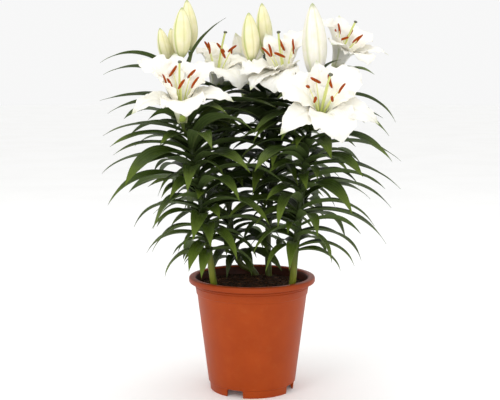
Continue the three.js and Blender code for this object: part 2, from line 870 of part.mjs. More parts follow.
let soil = makeSoil();
stemCurves.forEach((curve, n) => {
  const radius = (share) => stemRadius(share) + GAP;
  soil = soil.subtract(solidOf(tube(curve, STEMS[n].steps, STEM.sides, radius)));
});
addMesh("soil", geometryOf(soil), "soil");
addMesh("pot", makePot(), "pot");

export default group;
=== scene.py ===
# %% [markdown]
# # A potted lily
# An oriental lily in a plastic nursery pot: four leafy stems, white trumpet
# blooms and cream buds. Everything is worked out in millimetres, with +Z up and
# the origin in the middle of the pot's foot, and turned into metres when a mesh
# is written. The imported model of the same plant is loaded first, as a frame that
# holds every size and place: each piece made here stands for one of its nodes.

# %% Load the frame
import math
import random

import bpy
import numpy as np
from mathutils import Matrix, Vector, noise


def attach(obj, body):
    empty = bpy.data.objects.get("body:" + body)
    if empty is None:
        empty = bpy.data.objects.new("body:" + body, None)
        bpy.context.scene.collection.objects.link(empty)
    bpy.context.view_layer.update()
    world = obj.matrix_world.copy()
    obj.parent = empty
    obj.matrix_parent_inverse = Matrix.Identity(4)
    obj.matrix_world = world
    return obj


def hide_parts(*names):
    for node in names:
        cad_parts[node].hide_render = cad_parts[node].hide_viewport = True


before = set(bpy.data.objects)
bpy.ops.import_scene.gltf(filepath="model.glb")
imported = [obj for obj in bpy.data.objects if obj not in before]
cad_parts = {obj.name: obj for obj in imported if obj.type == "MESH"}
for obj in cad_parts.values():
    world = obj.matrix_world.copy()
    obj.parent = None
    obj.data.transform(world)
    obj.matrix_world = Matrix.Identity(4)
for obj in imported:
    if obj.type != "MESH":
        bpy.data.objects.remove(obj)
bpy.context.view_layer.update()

MM = 0.001
print("nodes in the frame:", len(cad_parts))

# %% [markdown]
# ## Small tools
# An operator acts on all that is selected, so every step starts by deselecting
# everything. A mesh is shaped here in one of two ways: with edit-mode operators,
# as by hand, or by moving each vertex of a copied blank to where a formula says.
# The second way is for grown forms, such as a leaf that arches and twists, where
# one blank is modelled once and each copy is bent in its own way.

# %% Tools for selecting, copying and moving
def deselect():
    if bpy.context.mode != "OBJECT":
        bpy.ops.object.mode_set(mode="OBJECT")
    bpy.ops.object.select_all(action="DESELECT")


def pick(pieces):
    """Selects these pieces and makes the first of them active."""
    deselect()
    for piece in pieces:
        piece.select_set(True)
    bpy.context.view_layer.objects.active = pieces[0]


def named(name):
    """Names the piece that an operator has just added, and its mesh."""
    piece = bpy.context.object
    piece.name = name
    piece.data.name = name
    return piece


def corners(piece):
    """The vertices of a piece, one row each."""
    flat = np.empty(len(piece.data.vertices) * 3)
    piece.data.vertices.foreach_get("co", flat)
    return flat.reshape(-1, 3)


def put(piece, places):
    """Moves the vertices of a piece to these places, in millimetres."""
    piece.data.vertices.foreach_set("co", (np.asarray(places) * MM).ravel())
    piece.data.update()


def copied(blank, name):
    """A copy of a blank with a mesh of its own."""
    twin = blank.copy()
    twin.data = blank.data.copy()
    twin.name = name
    bpy.context.collection.objects.link(twin)
    return twin


def joined(name, pieces):
    """Joins pieces into one and names it."""
    pick(pieces)
    if len(pieces) > 1:
        bpy.ops.object.join()
    return named(name)


def apply_modifier(piece, kind, **settings):
    """Adds a modifier with these settings and applies it."""
    pick([piece])
    bpy.ops.object.modifier_add(type=kind)
    modifier = piece.modifiers[-1]
    for key, value in settings.items():
        setattr(modifier, key, value)
    bpy.ops.object.modifier_apply(modifier=modifier.name)


def smooth_shaded(piece, angle):
    """Smooth shading, with edges sharper than the angle left crisp."""
    pick([piece])
    bpy.ops.object.shade_smooth_by_angle(angle=math.radians(angle))


def mark(piece, name, values):
    """Writes one number for each vertex, for the materials to read."""
    layer = piece.data.attributes.get(name)
    if layer is None:
        layer = piece.data.attributes.new(name, "FLOAT", "POINT")
    one_each = np.broadcast_to(values, len(piece.data.vertices))
    layer.data.foreach_set("value", one_each.astype(np.float32))


def stands_for(piece, slot, *nodes):
    """The piece rides on the model and stands for its nodes, which it hides. The slot is not used."""
    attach(piece, "root")
    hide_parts(*nodes)


def wear(material, *pieces):
    """Gives these pieces a finish and says how large it is."""
    for piece in pieces:
        piece.data.materials.append(material)
    print(material.name, "has", len(material.node_tree.nodes), "nodes, on pieces:", len(pieces))


def smooth(x, low, high):
    """0 at low, 1 at high and a soft slope between them. Low may be the larger one."""
    t = np.clip((x - low) / (high - low), 0, 1)
    return t * t * (3 - 2 * t)


def mix(a, b, share):
    return a + (b - a) * share


def unit(vector):
    vector = np.asarray(vector, float)
    return vector / np.linalg.norm(vector)


# %% [markdown]
# ## Shader maths as Python
# A finish is a small tree of nodes. Wiring it by hand hides the idea, so a Wire
# wraps a socket and overloads plus, minus, times and divide: an expression such
# as 1 - mask adds the Math node that it needs. Every other node comes from one
# method, which takes the node's type, its settings and its inputs.

# %% The classes Wire and Finish
class Wire:
    """The output of a node, so that shader maths reads as Python."""

    def __init__(self, finish, socket):
        self.finish = finish
        self.socket = socket

    def math(self, operation, *values):
        return self.finish.node("ShaderNodeMath", {"operation": operation}, dict(enumerate(values)))

    def __add__(self, other):
        return self.math("ADD", self, other)

    __radd__ = __add__

    def __sub__(self, other):
        return self.math("SUBTRACT", self, other)

    def __rsub__(self, other):
        return self.math("SUBTRACT", other, self)

    def __mul__(self, other):
        return self.math("MULTIPLY", self, other)

    __rmul__ = __mul__

    def __truediv__(self, other):
        return self.math("DIVIDE", self, other)

    def power(self, other):
        return self.math("POWER", self, other)

    def wave(self):
        return self.math("SINE", self)

    def size(self):
        return self.math("ABSOLUTE", self)

    def between(self, low, high):
        """0 where the value is low, 1 where it is high, and smooth between them."""
        inputs = {"Value": self, "From Min": low, "From Max": high}
        return self.finish.node("ShaderNodeMapRange", {"interpolation_type": "SMOOTHSTEP"}, inputs)


class Finish:
    """A material whose nodes are made by calls."""

    def __init__(self, name, roughness, **constants):
        self.material = bpy.data.materials.new(name)
        self.material.use_nodes = True
        self.tree = self.material.node_tree
        self.shader = self.tree.nodes["Principled BSDF"]
        self.feed("Roughness", roughness)
        for key, value in constants.items():
            self.feed(key.replace("_", " ").title().replace("Ior", "IOR"), value)

    def connect(self, socket, value):
        if isinstance(value, Wire):
            self.tree.links.new(value.socket, socket)
        else:
            socket.default_value = value

    def feed(self, name, value):
        """Sets an input of the shader, or links a wire to it."""
        self.connect(self.shader.inputs[name], value)

    def node(self, kind, settings=None, inputs=None, output=0):
        made = self.tree.nodes.new(kind)
        for key, value in (settings or {}).items():
            setattr(made, key, value)
        for key, value in (inputs or {}).items():
            self.connect(made.inputs[key], value)
        return Wire(self, made.outputs[output])

    def attribute(self, name):
        return self.node("ShaderNodeAttribute", {"attribute_name": name}, output="Fac")

    def across_and_along(self):
        """The piece's own UV map as two wires: across the blade and along it."""
        uv = self.node("ShaderNodeUVMap", {"uv_map": "UVMap"})
        split = self.node("ShaderNodeSeparateXYZ", None, {"Vector": uv})
        return split, Wire(self, split.socket.node.outputs[1])

    def place(self, stretch=(1, 1, 1)):
        """Object coordinates in metres, stretched along each axis."""
        spot = self.node("ShaderNodeTexCoord", output="Object")
        return self.node("ShaderNodeMapping", None, {"Vector": spot, "Scale": stretch})

    def speckle(self, scale, detail=3.0, stretch=(1, 1, 1), roughness=0.5):
        """Noise from 0 to 1 with this many blobs to the metre."""
        inputs = {"Vector": self.place(stretch), "Scale": scale}
        inputs.update({"Detail": detail, "Roughness": roughness})
        return self.node("ShaderNodeTexNoise", None, inputs)

    def blended(self, share, first, second):
        """The first colour where the share is 0 and the second where it is 1."""
        inputs = {0: share, 6: first, 7: second}
        return self.node("ShaderNodeMix", {"data_type": "RGBA"}, inputs, output=2)

    def relief(self, height, depth, strength=1.0):
        """Feeds a height from 0 to 1, that deep in millimetres, to the normal."""
        inputs = {"Height": height, "Distance": depth * MM, "Strength": strength}
        self.feed("Normal", self.node("ShaderNodeBump", None, inputs))


def colour(red, green, blue):
    """A colour as it looks on a screen, from 0 to 255, made ready for a shader."""
    linear = []
    for part in (red, green, blue):
        share = part / 255
        linear.append(share / 12.92 if share <= 0.04045 else ((share + 0.055) / 1.055) ** 2.4)
    return (*linear, 1)


# %% [markdown]
# ## Where everything grows
# The plant is described by a few lists, the same as in the model: four stems as
# points to pass through, the place and axis of each bloom and bud, and the large
# leaves that stand out. All other leaves follow a rule: they climb the stem by
# the golden angle, as on most plants, with small changes drawn from a fixed seed.

# %% Sizes of the pot and the plant, in millimetres
POT = {
    "height": 172,
    "foot_radius": 64.5,
    "top_radius": 86,
    "rim_radius": 95,
    "rim_height": 8,
    "collar_height": 18,
    "collar_step": 1.2,
    "wall": 1.8,
    "foot_height": 11.5,
    "foot_step": 1.4,
    "floor": 2.5,
}
NOTCH = {"count": 4, "width": 26, "depth": 40, "height": 11.2, "first": -114}
SOIL = {"edge": 159, "crown": 162}

# Between pieces that touch
GAP = 0.35

# A stem is thicker at its foot than at its top
STEM_RADIUS = (5.8, 3.6)
LEAF_THICKNESS = 1.0
LEAF_WIDEST = 0.42
LEAF_INSET = 1
GOLDEN_ANGLE = 137.5

# How far leaves may reach, and how clear they stay of the rim and the soil
REACH_ASIDE = 224
REACH_DEEP = 166
LEAF_CLEAR = {"rim": 4, "soil": 5, "inside": 74}

# Rise and fall shape the outline, and start is the radius that it grows from.
# The ruffle is the depth of the large waves, the frill that of the small ones
OUTER = {
    "length": 114,
    "width": 47,
    "widest": 0.5,
    "rise": 1.7,
    "fall": 0.95,
    "ruffle": 1.2,
    "frill": 1.1,
    "start": 7,
}
INNER = {
    "length": 110,
    "width": 68,
    "widest": 0.56,
    "rise": 3.2,
    "fall": 0.66,
    "ruffle": 3.4,
    "frill": 3.2,
    "start": 3.8,
}
FUNNEL = 12
THROAT = 19
RECURVE = 46
WAVES = 3.5
STAMEN = {"length": 52, "reach": 22, "radius": 0.9, "anther": 21, "anther_radius": 2.6}
PISTIL = {"length": 80, "radius": 1.7, "stigma": 3.6}

# A blade's middle line is followed in this many steps
STEPS = 24

# The share of a blade, from its foot, that may touch its own plant
TEPAL_ROOT = 0.3
LEAF_ROOT = 0.17

# Shares of a stem: where the stalks of its buds leave it, and where the soil is
BUD_STALK_FROM = 0.985
STEM_AT_SOIL = 0.2

# The cells of the room, and the distance between samples of a blade
CELL = 3
SAMPLE = 3
print("the pot is", 2 * POT["rim_radius"], "mm across and", POT["height"], "mm tall")

# %% The stems, from the soil up, and how each one carries its leaves
STEMS = [
    {
        "name": "front_left",
        "points": [
            (-46, -34, 84),
            (-56, -42, 165),
            (-64, -47, 225),
            (-74, -48, 290),
            (-85, -38, 350),
            (-94, -20, 405),
            (-105, 4, 466),
        ],
        "leaves": {"count": 45, "from": 0.3, "to": 0.86, "turn": 200},
    },
    {
        "name": "front_right",
        "points": [
            (50, -34, 84),
            (59, -42, 165),
            (63, -48, 215),
            (69, -50, 275),
            (76, -42, 340),
            (84, -26, 395),
            (93, -8, 438),
        ],
        "leaves": {"count": 46, "from": 0.34, "to": 0.92, "turn": 340},
    },
    {
        "name": "back_left",
        "points": [
            (14, 57, 84),
            (12, 57, 140),
            (3, 57, 167),
            (-16, 56, 178),
            (-29, 54, 205),
            (-34, 51, 255),
            (-41, 47, 320),
            (-50, 40, 405),
        ],
        "leaves": {"count": 36, "from": 0.47, "to": 0.96, "turn": 130},
    },
    {
        "name": "back_right",
        "points": [
            (28, 44, 84),
            (26, 50, 165),
            (25, 54, 220),
            (29, 52, 290),
            (32, 46, 360),
            (27, 40, 420),
            (16, 34, 474),
        ],
        "leaves": {"count": 36, "from": 0.37, "to": 0.86, "turn": 40},
    },
]
print("stems:", [stem["name"] for stem in STEMS])

# %% The blooms: base, axis, size, and each tepal's turn, spread and size
BLOOMS = [
    {
        "name": "low_right",
        "stem": 1,
        "base": (94, -74, 402),
        "axis": (0.08, -0.66, 0.75),
        "size": 0.98,
        "tepals": [
            (-20, 84, 1), (46, 54, 1), (100, 36, 0.85),
            (158, 66, 1), (224, 86, 1), (288, 78, 1),
        ],
        "stalk_from": 0.8,
    },
    {
        "name": "middle",
        "stem": 3,
        "base": (52, 15, 446),
        "axis": (-0.18, -0.3, 0.94),
        "size": 0.95,
        "tepals": [
            (112, 34, 0.9), (196, 66, 1), (232, 84, 1),
            (274, 90, 1), (318, 38, 0.66), (40, 34, 1),
        ],
        "stalk_from": 0.82,
    },
    {
        "name": "low_left",
        "stem": 0,
        "base": (-100, -50, 406),
        "axis": (-0.04, -0.42, 0.91),
        "size": 0.95,
        "tepals": [
            (342, 78, 1), (40, 42, 1), (98, 40, 1),
            (168, 28, 1.1), (216, 80, 1), (280, 72, 1),
        ],
        "stalk_from": 0.72,
    },
    {
        "name": "high_right",
        "stem": 1,
        "base": (124, 30, 476),
        "axis": (0.3, -0.3, 0.9),
        "size": 0.84,
        "tepals": [
            (4, 64, 1), (52, 44, 1), (104, 36, 1),
            (172, 34, 1), (236, 56, 1), (300, 70, 1),
        ],
        "stalk_from": 0.96,
    },
    {
        "name": "middle_left",
        "stem": 2,
        "base": (-56, 42, 447),
        "axis": (0.14, -0.2, 0.97),
        "size": 0.93,
        "tepals": [
            (-10, 82, 1), (50, 52, 1), (100, 56, 1),
            (150, 40, 1), (240, 84, 0.8), (300, 74, 1),
        ],
        "stalk_from": 0.96,
    },
    {
        "name": "back",
        "stem": 2,
        "base": (-10, 84, 440),
        "axis": (0.06, 0.6, 0.8),
        "size": 0.9,
        "tepals": [
            (10, 74, 1), (70, 60, 1), (130, 76, 1),
            (190, 52, 1), (250, 48, 1), (310, 38, 1),
        ],
        "stalk_from": 0.93,
    },
]
print("blooms:", [bloom["name"] for bloom in BLOOMS])

# %% The buds and the large leaves
BUDS = [
    {"name": "left_front", "stem": 0, "base": (-104, -4, 496), "tip": (-102, -4, 571), "radius": 14},
    {"name": "left_tall", "stem": 0, "base": (-92, 26, 508), "tip": (-97, 26, 584), "radius": 12.5},
    {"name": "left_far", "stem": 0, "base": (-125, 20, 488), "tip": (-137, 20, 542), "radius": 10},
    {"name": "left_small", "stem": 0, "base": (-116, 46, 498), "tip": (-123, 48, 543), "radius": 8.5},
    {"name": "middle_front", "stem": 3, "base": (-1, 26, 491), "tip": (-5, 26, 565), "radius": 13.5},
    {"name": "middle_tall", "stem": 3, "base": (20, 56, 503), "tip": (15, 58, 581), "radius": 12.5},
    {"name": "right_ripe", "stem": 1, "base": (91, -34, 466), "tip": (86, -38, 575), "radius": 17.5},
]

# Stem, place along it, turn from +X, length, width, lift and droop
LARGE_LEAVES = [
    (0, 0.99, 188, 136, 26, 52, 88),
    (0, 0.97, 176, 124, 24, 40, 70),
    (0, 0.96, 96, 92, 20, 40, 76),
    (0, 0.92, 184, 124, 24, 12, 28),
    (0, 0.84, 346, 146, 38, 34, 62),
    (0, 0.86, 196, 122, 28, 30, 64),
    (2, 0.98, 172, 98, 20, 50, 66),
    (2, 0.97, 300, 84, 24, 40, 76),
    (1, 0.86, 200, 122, 34, 44, 92),
    (1, 0.93, 184, 96, 24, 20, 20),
    (1, 0.97, 352, 136, 26, 28, 92),
    (1, 0.92, 335, 128, 25, 14, 66),
    (1, 0.74, 2, 146, 24, 20, 62),
    (1, 0.67, 350, 148, 24, 14, 60),
    (1, 0.6, 6, 144, 25, 14, 66),
    (1, 0.5, 354, 142, 25, 12, 72),
    (1, 0.42, 12, 118, 24, 12, 84),
    (1, 0.355, 352, 100, 21, 26, 96),
    (0, 0.78, 186, 130, 24, 24, 56),
    (0, 0.7, 200, 122, 23, 26, 60),
]
print("buds:", len(BUDS), "and large leaves:", len(LARGE_LEAVES))

# %% [markdown]
# ## Paths
# A stem is a smooth path through its points, and a stalk is a Bezier path that
# leaves the stem along its direction and arrives behind its flower along the
# flower's axis. A path is simply a function: give it a share from 0 to 1 and it
# returns a place.

# %% Paths through space
def through(points):
    """A Catmull-Rom path through all the points."""
    points = np.array(points, float)
    last = len(points) - 1
    before = points[0] - points[1] + points[0]
    after = points[-1] - points[-2] + points[-1]

    def path(share):
        whole = last * share
        i = min(int(whole), last - 1)
        t = whole - i
        a = points[i - 1] if i > 0 else before
        b, c = points[i], points[i + 1]
        d = points[i + 2] if i + 2 <= last else after
        start, end = 0.5 * (c - a), 0.5 * (d - b)
        square = -3 * b + 3 * c - 2 * start - end
        cube = 2 * b - 2 * c + start + end
        return b + start * t + square * t * t + cube * t * t * t

    return path


def bezier(*points):
    """A Bezier path: it starts at the first point and ends at the last."""
    points = [np.asarray(point, float) for point in points]
    degree = len(points) - 1

    def path(share):
        total = 0
        for i, point in enumerate(points):
            total = total + math.comb(degree, i) * (1 - share) ** (degree - i) * share**i * point
        return total

    return path


def spots_along(path, count):
    return np.array([path(i / count) for i in range(count + 1)])


def length_of(path):
    spots = spots_along(path, 200)
    return np.sqrt(((spots[1:] - spots[:-1]) ** 2).sum(axis=1)).sum()


def direction(path, share):
    nudge = 1e-4
    return unit(path(min(share + nudge, 1)) - path(max(share - nudge, 0)))


stem_paths = [through(stem["points"]) for stem in STEMS]


def stem_radius(share):
    return mix(*STEM_RADIUS, share)


def stalk_radius(share):
    return 2.5 + 1.1 * smooth(share, 0.85, 1)


STALK_PULL = 0.45


def stalk_path(stem, start_share, base, axis):
    """From a place on its stem to the back of a flower, along the flower's axis."""
    start = stem(start_share)
    pull = np.linalg.norm(base - start) * STALK_PULL
    return bezier(start, start + direction(stem, start_share) * pull, base - axis * pull, base)


def bud_radius(bud, share):
    belly = np.sin(math.pi * np.asarray(share, float) ** 0.84).clip(0) ** 0.68
    neck = np.where(np.asarray(share) < 0.5, 3.4 * (1 - np.asarray(share)), 0)
    return np.maximum(bud["radius"] * belly, neck)


print("stem lengths in millimetres:", [round(float(length_of(path))) for path in stem_paths])

# %% [markdown]
# ## Room for everything
# Leaves on neighbouring stems would grow through each other. So the space is cut
# into cells of a few millimetres, each piece claims the cells that it passes
# through, and a new leaf or tepal is bent, step by step, until it is clear of
# what is already there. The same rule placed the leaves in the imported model.

# %% The room that is taken
ROOM_CELLS = (220, 220, 230)
ROOM_SHIFT = np.array([110, 110, 10])
BUD_ITEM, BLOOM_ITEM, LEAF_ITEM = 100, 200, 1000
room_item = np.full(ROOM_CELLS, -1, np.int16)
room_plant = np.full(ROOM_CELLS, -1, np.int16)
NEIGHBOURS = np.array([(i, j, k) for i in (-1, 0, 1) for j in (-1, 0, 1) for k in (-1, 0, 1)])


def cells_of(places):
    return np.floor(np.asarray(places) / CELL).astype(int) + ROOM_SHIFT


def claim(places, plant, item):
    i, j, k = cells_of(places).T
    room_item[i, j, k] = item
    room_plant[i, j, k] = plant


def is_clear(places, root, plant, item, around=NEIGHBOURS):
    """No other item in the cells round these places. A root may touch its own plant."""
    near = cells_of(places)[:, None, :] + around
    items = room_item[near[..., 0], near[..., 1], near[..., 2]]
    plants = room_plant[near[..., 0], near[..., 1], near[..., 2]]
    taken = (items >= 0) & (items != item)
    return not (taken & ~(root[:, None] & (plants == plant))).any()


def blade_samples(surface, length, width, root_share):
    """Places a few millimetres apart all over a blade, and which of them are its root."""
    rows = math.ceil(length / SAMPLE)
    columns = math.ceil(width / SAMPLE)
    along = np.arange(1, rows + 1) / rows
    across = 2 * np.arange(columns + 1) / columns - 1
    s, q = np.meshgrid(along, across, indexing="ij")
    return surface(q.ravel(), s.ravel()), s.ravel() < root_share


def tube_samples(path, radius_at):
    steps = math.ceil(length_of(path) / SAMPLE)
    places = []
    for i in range(steps + 1):
        radius = float(radius_at(i / steps))
        around = max(6, math.ceil(2 * math.pi * radius / SAMPLE))
        for n in range(around):
            turn = n * 2 * math.pi / around
            places.append(path(i / steps) + radius * np.array([math.cos(turn), math.sin(turn), 0]))
    return np.array(places)


drawn = 20


def draw(low, high):
    """The next number of a fixed series, between low and high."""
    global drawn
    drawn = (drawn * 1664525 + 1013904223) % 2**32
    return low + (high - low) * drawn / 2**32


print("cells in the room:", room_item.size)

# %% [markdown]
# ## The shape of a tepal
# A lily has no separate petals and sepals but six tepals: three narrow outer ones
# and three broad inner ones. Each stands in a steep funnel at the throat, opens
# outwards half way and curls back at its tip, with a groove down its middle and a
# ruffled edge. The surface is a function of two shares: q across, from -1 to 1,
# and s along, from 0 at the throat to 1 at the tip.

# %% A tepal's middle surface
def tepal_surface(kind, spread, turn, phase, frill=0.0):
    """Frill is the depth in millimetres of the small ruffles that only the fine blade has."""

    def lean(s):
        opened = mix(FUNNEL, spread, smooth(s, 0.2, 0.6))
        return np.radians(opened + RECURVE * smooth(s, 0.58, 1))

    def half_width(s):
        widest = kind["widest"]
        rising = 0.14 + 0.86 * np.sin(np.pi / 2 * np.minimum(s, widest) / widest) ** kind["rise"]
        past = np.maximum(s - widest, 0) / (1 - widest)
        falling = np.cos(np.pi / 2 * past).clip(0) ** kind["fall"]
        return kind["width"] / 2 * np.where(s < widest, rising, falling)

    def surface(q, s):
        r, h = kind["start"] + 0 * s, 0 * s
        for i in range(STEPS):
            angle = lean((i + 0.5) / STEPS * s)
            r = r + np.sin(angle) * kind["length"] * s / STEPS
            h = h + np.cos(angle) * kind["length"] * s / STEPS
        angle = lean(s)
        late = np.where(q < 0, phase, phase + 0.8)
        scallop = np.cos(2 * np.pi * 1.7 * WAVES * s + 1.7 * late)
        scallop = scallop * smooth(s, 0.35, 0.5) * smooth(s, 0.98, 0.85)
        pointed = 1 - 0.14 * frill * smooth(s, 0.84, 1)
        half = half_width(s) * pointed + 0.4 * frill * scallop
        bend = np.maximum(0.05, np.cos(angle)) / (r + 2)
        side = np.sin(q * half * bend) / bend
        cup = (1 - np.cos(q * half * bend)) / bend
        wave = np.cos(2 * np.pi * WAVES * s + late)
        uneven = 1.4 * np.sin(2 * np.pi * 1.9 * s + phase)
        small = np.cos(2 * np.pi * 2.7 * WAVES * s + 2.3 * late + uneven)
        small = small * (0.75 + 0.25 * np.sin(23 * s + late))
        edge = np.abs(q) ** 2.5 * smooth(s, 0.42, 0.65) * smooth(s, 1, 0.88)
        rim = np.abs(q) ** 4 * smooth(s, 0.32, 0.46) * smooth(s, 1, 0.93)
        groove = 1.1 * np.exp(-((q / 0.14) ** 2)) * smooth(s, 0.1, 0.35) * smooth(s, 1, 0.9)
        pleat = 0.3 * np.exp(-(((np.abs(q) - 0.36) / 0.15) ** 2))
        pleat = pleat * smooth(s, 0.08, 0.3) * smooth(s, 0.95, 0.6)
        out = kind["ruffle"] * wave * edge + frill * (small * rim - pleat) + groove - cup
        radius = r + out * np.cos(angle)
        c, n = math.cos(math.radians(turn)), math.sin(math.radians(turn))
        x, y = radius * c - side * n, radius * n + side * c
        return np.stack([x, y, h - out * np.sin(angle)], axis=-1)

    return surface


def bloom_frame(bloom):
    """The bloom's base and its three directions: right, away and up its axis."""
    up = unit(bloom["axis"])
    right = unit(np.array([1.0, 0, 0]) - up * up[0])
    return np.array(bloom["base"], float), np.array([right, np.cross(up, right), up])


def in_bloom(bloom, places):
    """Places in a bloom's own frame, moved to where the bloom is."""
    base, ways = bloom_frame(bloom)
    return base + bloom["size"] * (places @ ways)


print("outer and inner tepals are", OUTER["width"], "and", INNER["width"], "mm wide")

# %% [markdown]
# ## The stamens and the pistil
# Six thin filaments stand round the pistil and spread as they rise. Each carries
# an anther that hangs on a single point, so no two lie alike.

# %% Where the stamens of a bloom stand
def stamen_plan(index):
    """Each filament's path, its end and the way its anther lies, and the style's path."""
    low = THROAT + GAP
    filaments = []
    for n in range(6):
        turn = math.radians(60 * n + 24 * index + 8 * math.sin(3 * index + n))
        out = np.array([math.cos(turn), math.sin(turn), 0])
        reach = STAMEN["reach"] * (1 + 0.14 * math.sin(5 * n + index))
        height = STAMEN["length"] * (1 + 0.05 * math.cos(4 * n + index))
        start = out * 3.4 + [0, 0, low + 0.6]
        waist = out * reach * 0.32 + [0, 0, low + height * 0.55]
        end = out * reach + [0, 0, low + height]
        tilt = 0.9 * math.sin(7 * n + 2 * index)
        lie = np.array([-out[1], out[0], 0]) * math.sin(tilt) + out * 0.35
        lie[2] = math.cos(tilt)
        filaments.append((bezier(start, waist, end), end, unit(lie)))
    top = np.array([3.5, -2, low + PISTIL["length"]])
    style = bezier((0, 0, low + 0.6), (-2.5, 1.5, low + PISTIL["length"] / 2), top)
    return filaments, style, top


def stamen_samples(index):
    filaments, style, top = stamen_plan(index)
    places = [tube_samples(path, lambda share: STAMEN["radius"]) for path, end, lie in filaments]
    places.append(tube_samples(style, lambda share: STAMEN["radius"]))
    for path, end, lie in filaments:
        places.append(end + np.outer([-0.5, -0.25, 0, 0.25, 0.5], lie) * STAMEN["anther"])
    return np.concatenate(places)


print("stamens in a bloom:", len(stamen_plan(0)[0]))

# %% [markdown]
# ## The shape of a leaf
# A lily's leaf is a long lance: it leaves the stem steeply, arches over under its
# own weight and ends in a fine point. It is folded along its rib like a shallow
# gutter, which keeps it stiff.

# %% A leaf's middle surface
def leaf_surface(foot, turn, length, width, lift, droop, sway, roll, ripple=0.0):
    """Ripple is the depth in millimetres of the soft waves of the leaf's edge."""

    def way(s):
        return np.radians(turn + sway * s * s)

    def ahead(s):
        rise = np.radians(lift - droop * s**1.25)
        level = np.cos(rise)
        return np.stack([level * np.cos(way(s)), level * np.sin(way(s)), np.sin(rise)], axis=-1)

    def outline(s):
        grown = np.sin(np.pi / 2 * np.minimum(s, LEAF_WIDEST) / LEAF_WIDEST)
        rising = np.where(s > 0, mix(0.36, 1, grown), 0)
        past = np.maximum(s - LEAF_WIDEST, 0) / (1 - LEAF_WIDEST)
        return np.where(s < LEAF_WIDEST, rising, np.cos(np.pi / 2 * past).clip(0) ** 1.15)

    def surface(q, s):
        at = foot + 0 * ahead(s)
        for i in range(STEPS):
            at = at + ahead((i + 0.5) / STEPS * s) * (length * s / STEPS)[:, None]
        level = np.stack([-np.sin(way(s)), np.cos(way(s)), 0 * s], axis=-1)
        up = np.cross(ahead(s), level)
        twist = np.radians(roll * s)[:, None]
        across = level * np.cos(twist) + up * np.sin(twist)
        above = up * np.cos(twist) - level * np.sin(twist)
        half = width / 2 * outline(s)
        fold = np.radians(mix(30, 10, s))
        wavy = ripple * np.abs(q) ** 2 * np.sin(9 * s + turn + np.where(q < 0, 0, 2))
        wavy = wavy * smooth(s, 0.1, 0.4)
        raised = np.abs(q) * half * np.sin(fold) + wavy * smooth(s, 1, 0.8)
        return at - across * (q * half * np.cos(fold))[:, None] + above * raised[:, None]

    return surface


def has_room(places, root):
    """Leaves keep out of the pot's rim and the soil, and reach only so far aside."""
    x, y, z = places.T
    radius = np.hypot(x, y)
    outside = radius > POT["rim_radius"] + LEAF_CLEAR["rim"]
    over_soil = (radius < LEAF_CLEAR["inside"]) & (z > SOIL["crown"] + LEAF_CLEAR["soil"])
    fits = (z > POT["height"] + LEAF_CLEAR["rim"]) | root | outside | over_soil
    return bool((fits & (np.abs(x) <= REACH_ASIDE) & (np.abs(y) <= REACH_DEEP)).all())


arch = leaf_surface(np.zeros(3), 0, 130, 24, 40, 80, 0, 0)
print("a leaf of 130 mm reaches out", round(float(arch(np.zeros(1), np.ones(1))[0, 0])), "mm")

# %% [markdown]
# ## Growing the plant
# Stems, stalks, buds and stamens claim their room first. Then each tepal and each
# leaf is tried as it was drawn, and bent a little more each time until it fits.
# Each list of bends starts with no bend at all.

# %% Ways to bend a tepal or a leaf: a turn aside, a tilt and a size
TEPAL_BENDS = [
    (turn, spread, size)
    for size in (1, 0.88, 0.76)
    for turn in range(-24, 25, 8)
    for spread in range(-28, 29, 7)
]
TEPAL_BENDS.sort(key=lambda bend: abs(bend[0]) + abs(bend[1]) + (1 - bend[2]) * 120)

LEAF_BENDS = [
    (0, 0, 1),
    (9, 0, 1),
    (-9, 0, 1),
    (0, 9, 1),
    (0, -9, 1),
    (18, 4, 1),
    (-18, 4, 1),
    (0, 16, 0.94),
    (0, -16, 0.94),
    (12, 12, 0.88),
    (-12, 12, 0.88),
    (12, -14, 0.88),
    (-12, -14, 0.88),
    (0, 24, 0.8),
    (0, -22, 0.8),
    (22, 14, 0.74),
    (-22, 14, 0.74),
    (0, 10, 0.64),
    (14, 26, 0.6),
    (-14, 26, 0.6),
    (0, -10, 0.55),
]
print("ways to bend a tepal and a leaf:", len(TEPAL_BENDS), len(LEAF_BENDS))

# %% Stems, stalks, buds and stamens claim their room
stalks = [[] for stem in STEMS]
for n, path in enumerate(stem_paths):
    claim(tube_samples(path, stem_radius), n, n)

for n, bud in enumerate(BUDS):
    base, tip = np.array(bud["base"], float), np.array(bud["tip"], float)
    bud["axis"] = unit(tip - base)
    bud["length"] = float(np.linalg.norm(tip - base))
    stalk = stalk_path(stem_paths[bud["stem"]], BUD_STALK_FROM, base - GAP * bud["axis"], bud["axis"])
    stalks[bud["stem"]].append(stalk)
    claim(tube_samples(stalk, stalk_radius), bud["stem"], bud["stem"])
    body = tube_samples(bezier(base, tip), lambda share: bud_radius(bud, share))
    claim(body, bud["stem"], BUD_ITEM + n)

for bloom in BLOOMS:
    axis = unit(bloom["axis"])
    base = np.array(bloom["base"], float) - GAP * axis
    stalk = stalk_path(stem_paths[bloom["stem"]], bloom["stalk_from"], base, axis)
    stalks[bloom["stem"]].append(stalk)
    claim(tube_samples(stalk, stalk_radius), bloom["stem"], bloom["stem"])

for n, bloom in enumerate(BLOOMS):
    claim(in_bloom(bloom, stamen_samples(n)), bloom["stem"], BLOOM_ITEM + n)
print("cells taken:", int((room_item >= 0).sum()))

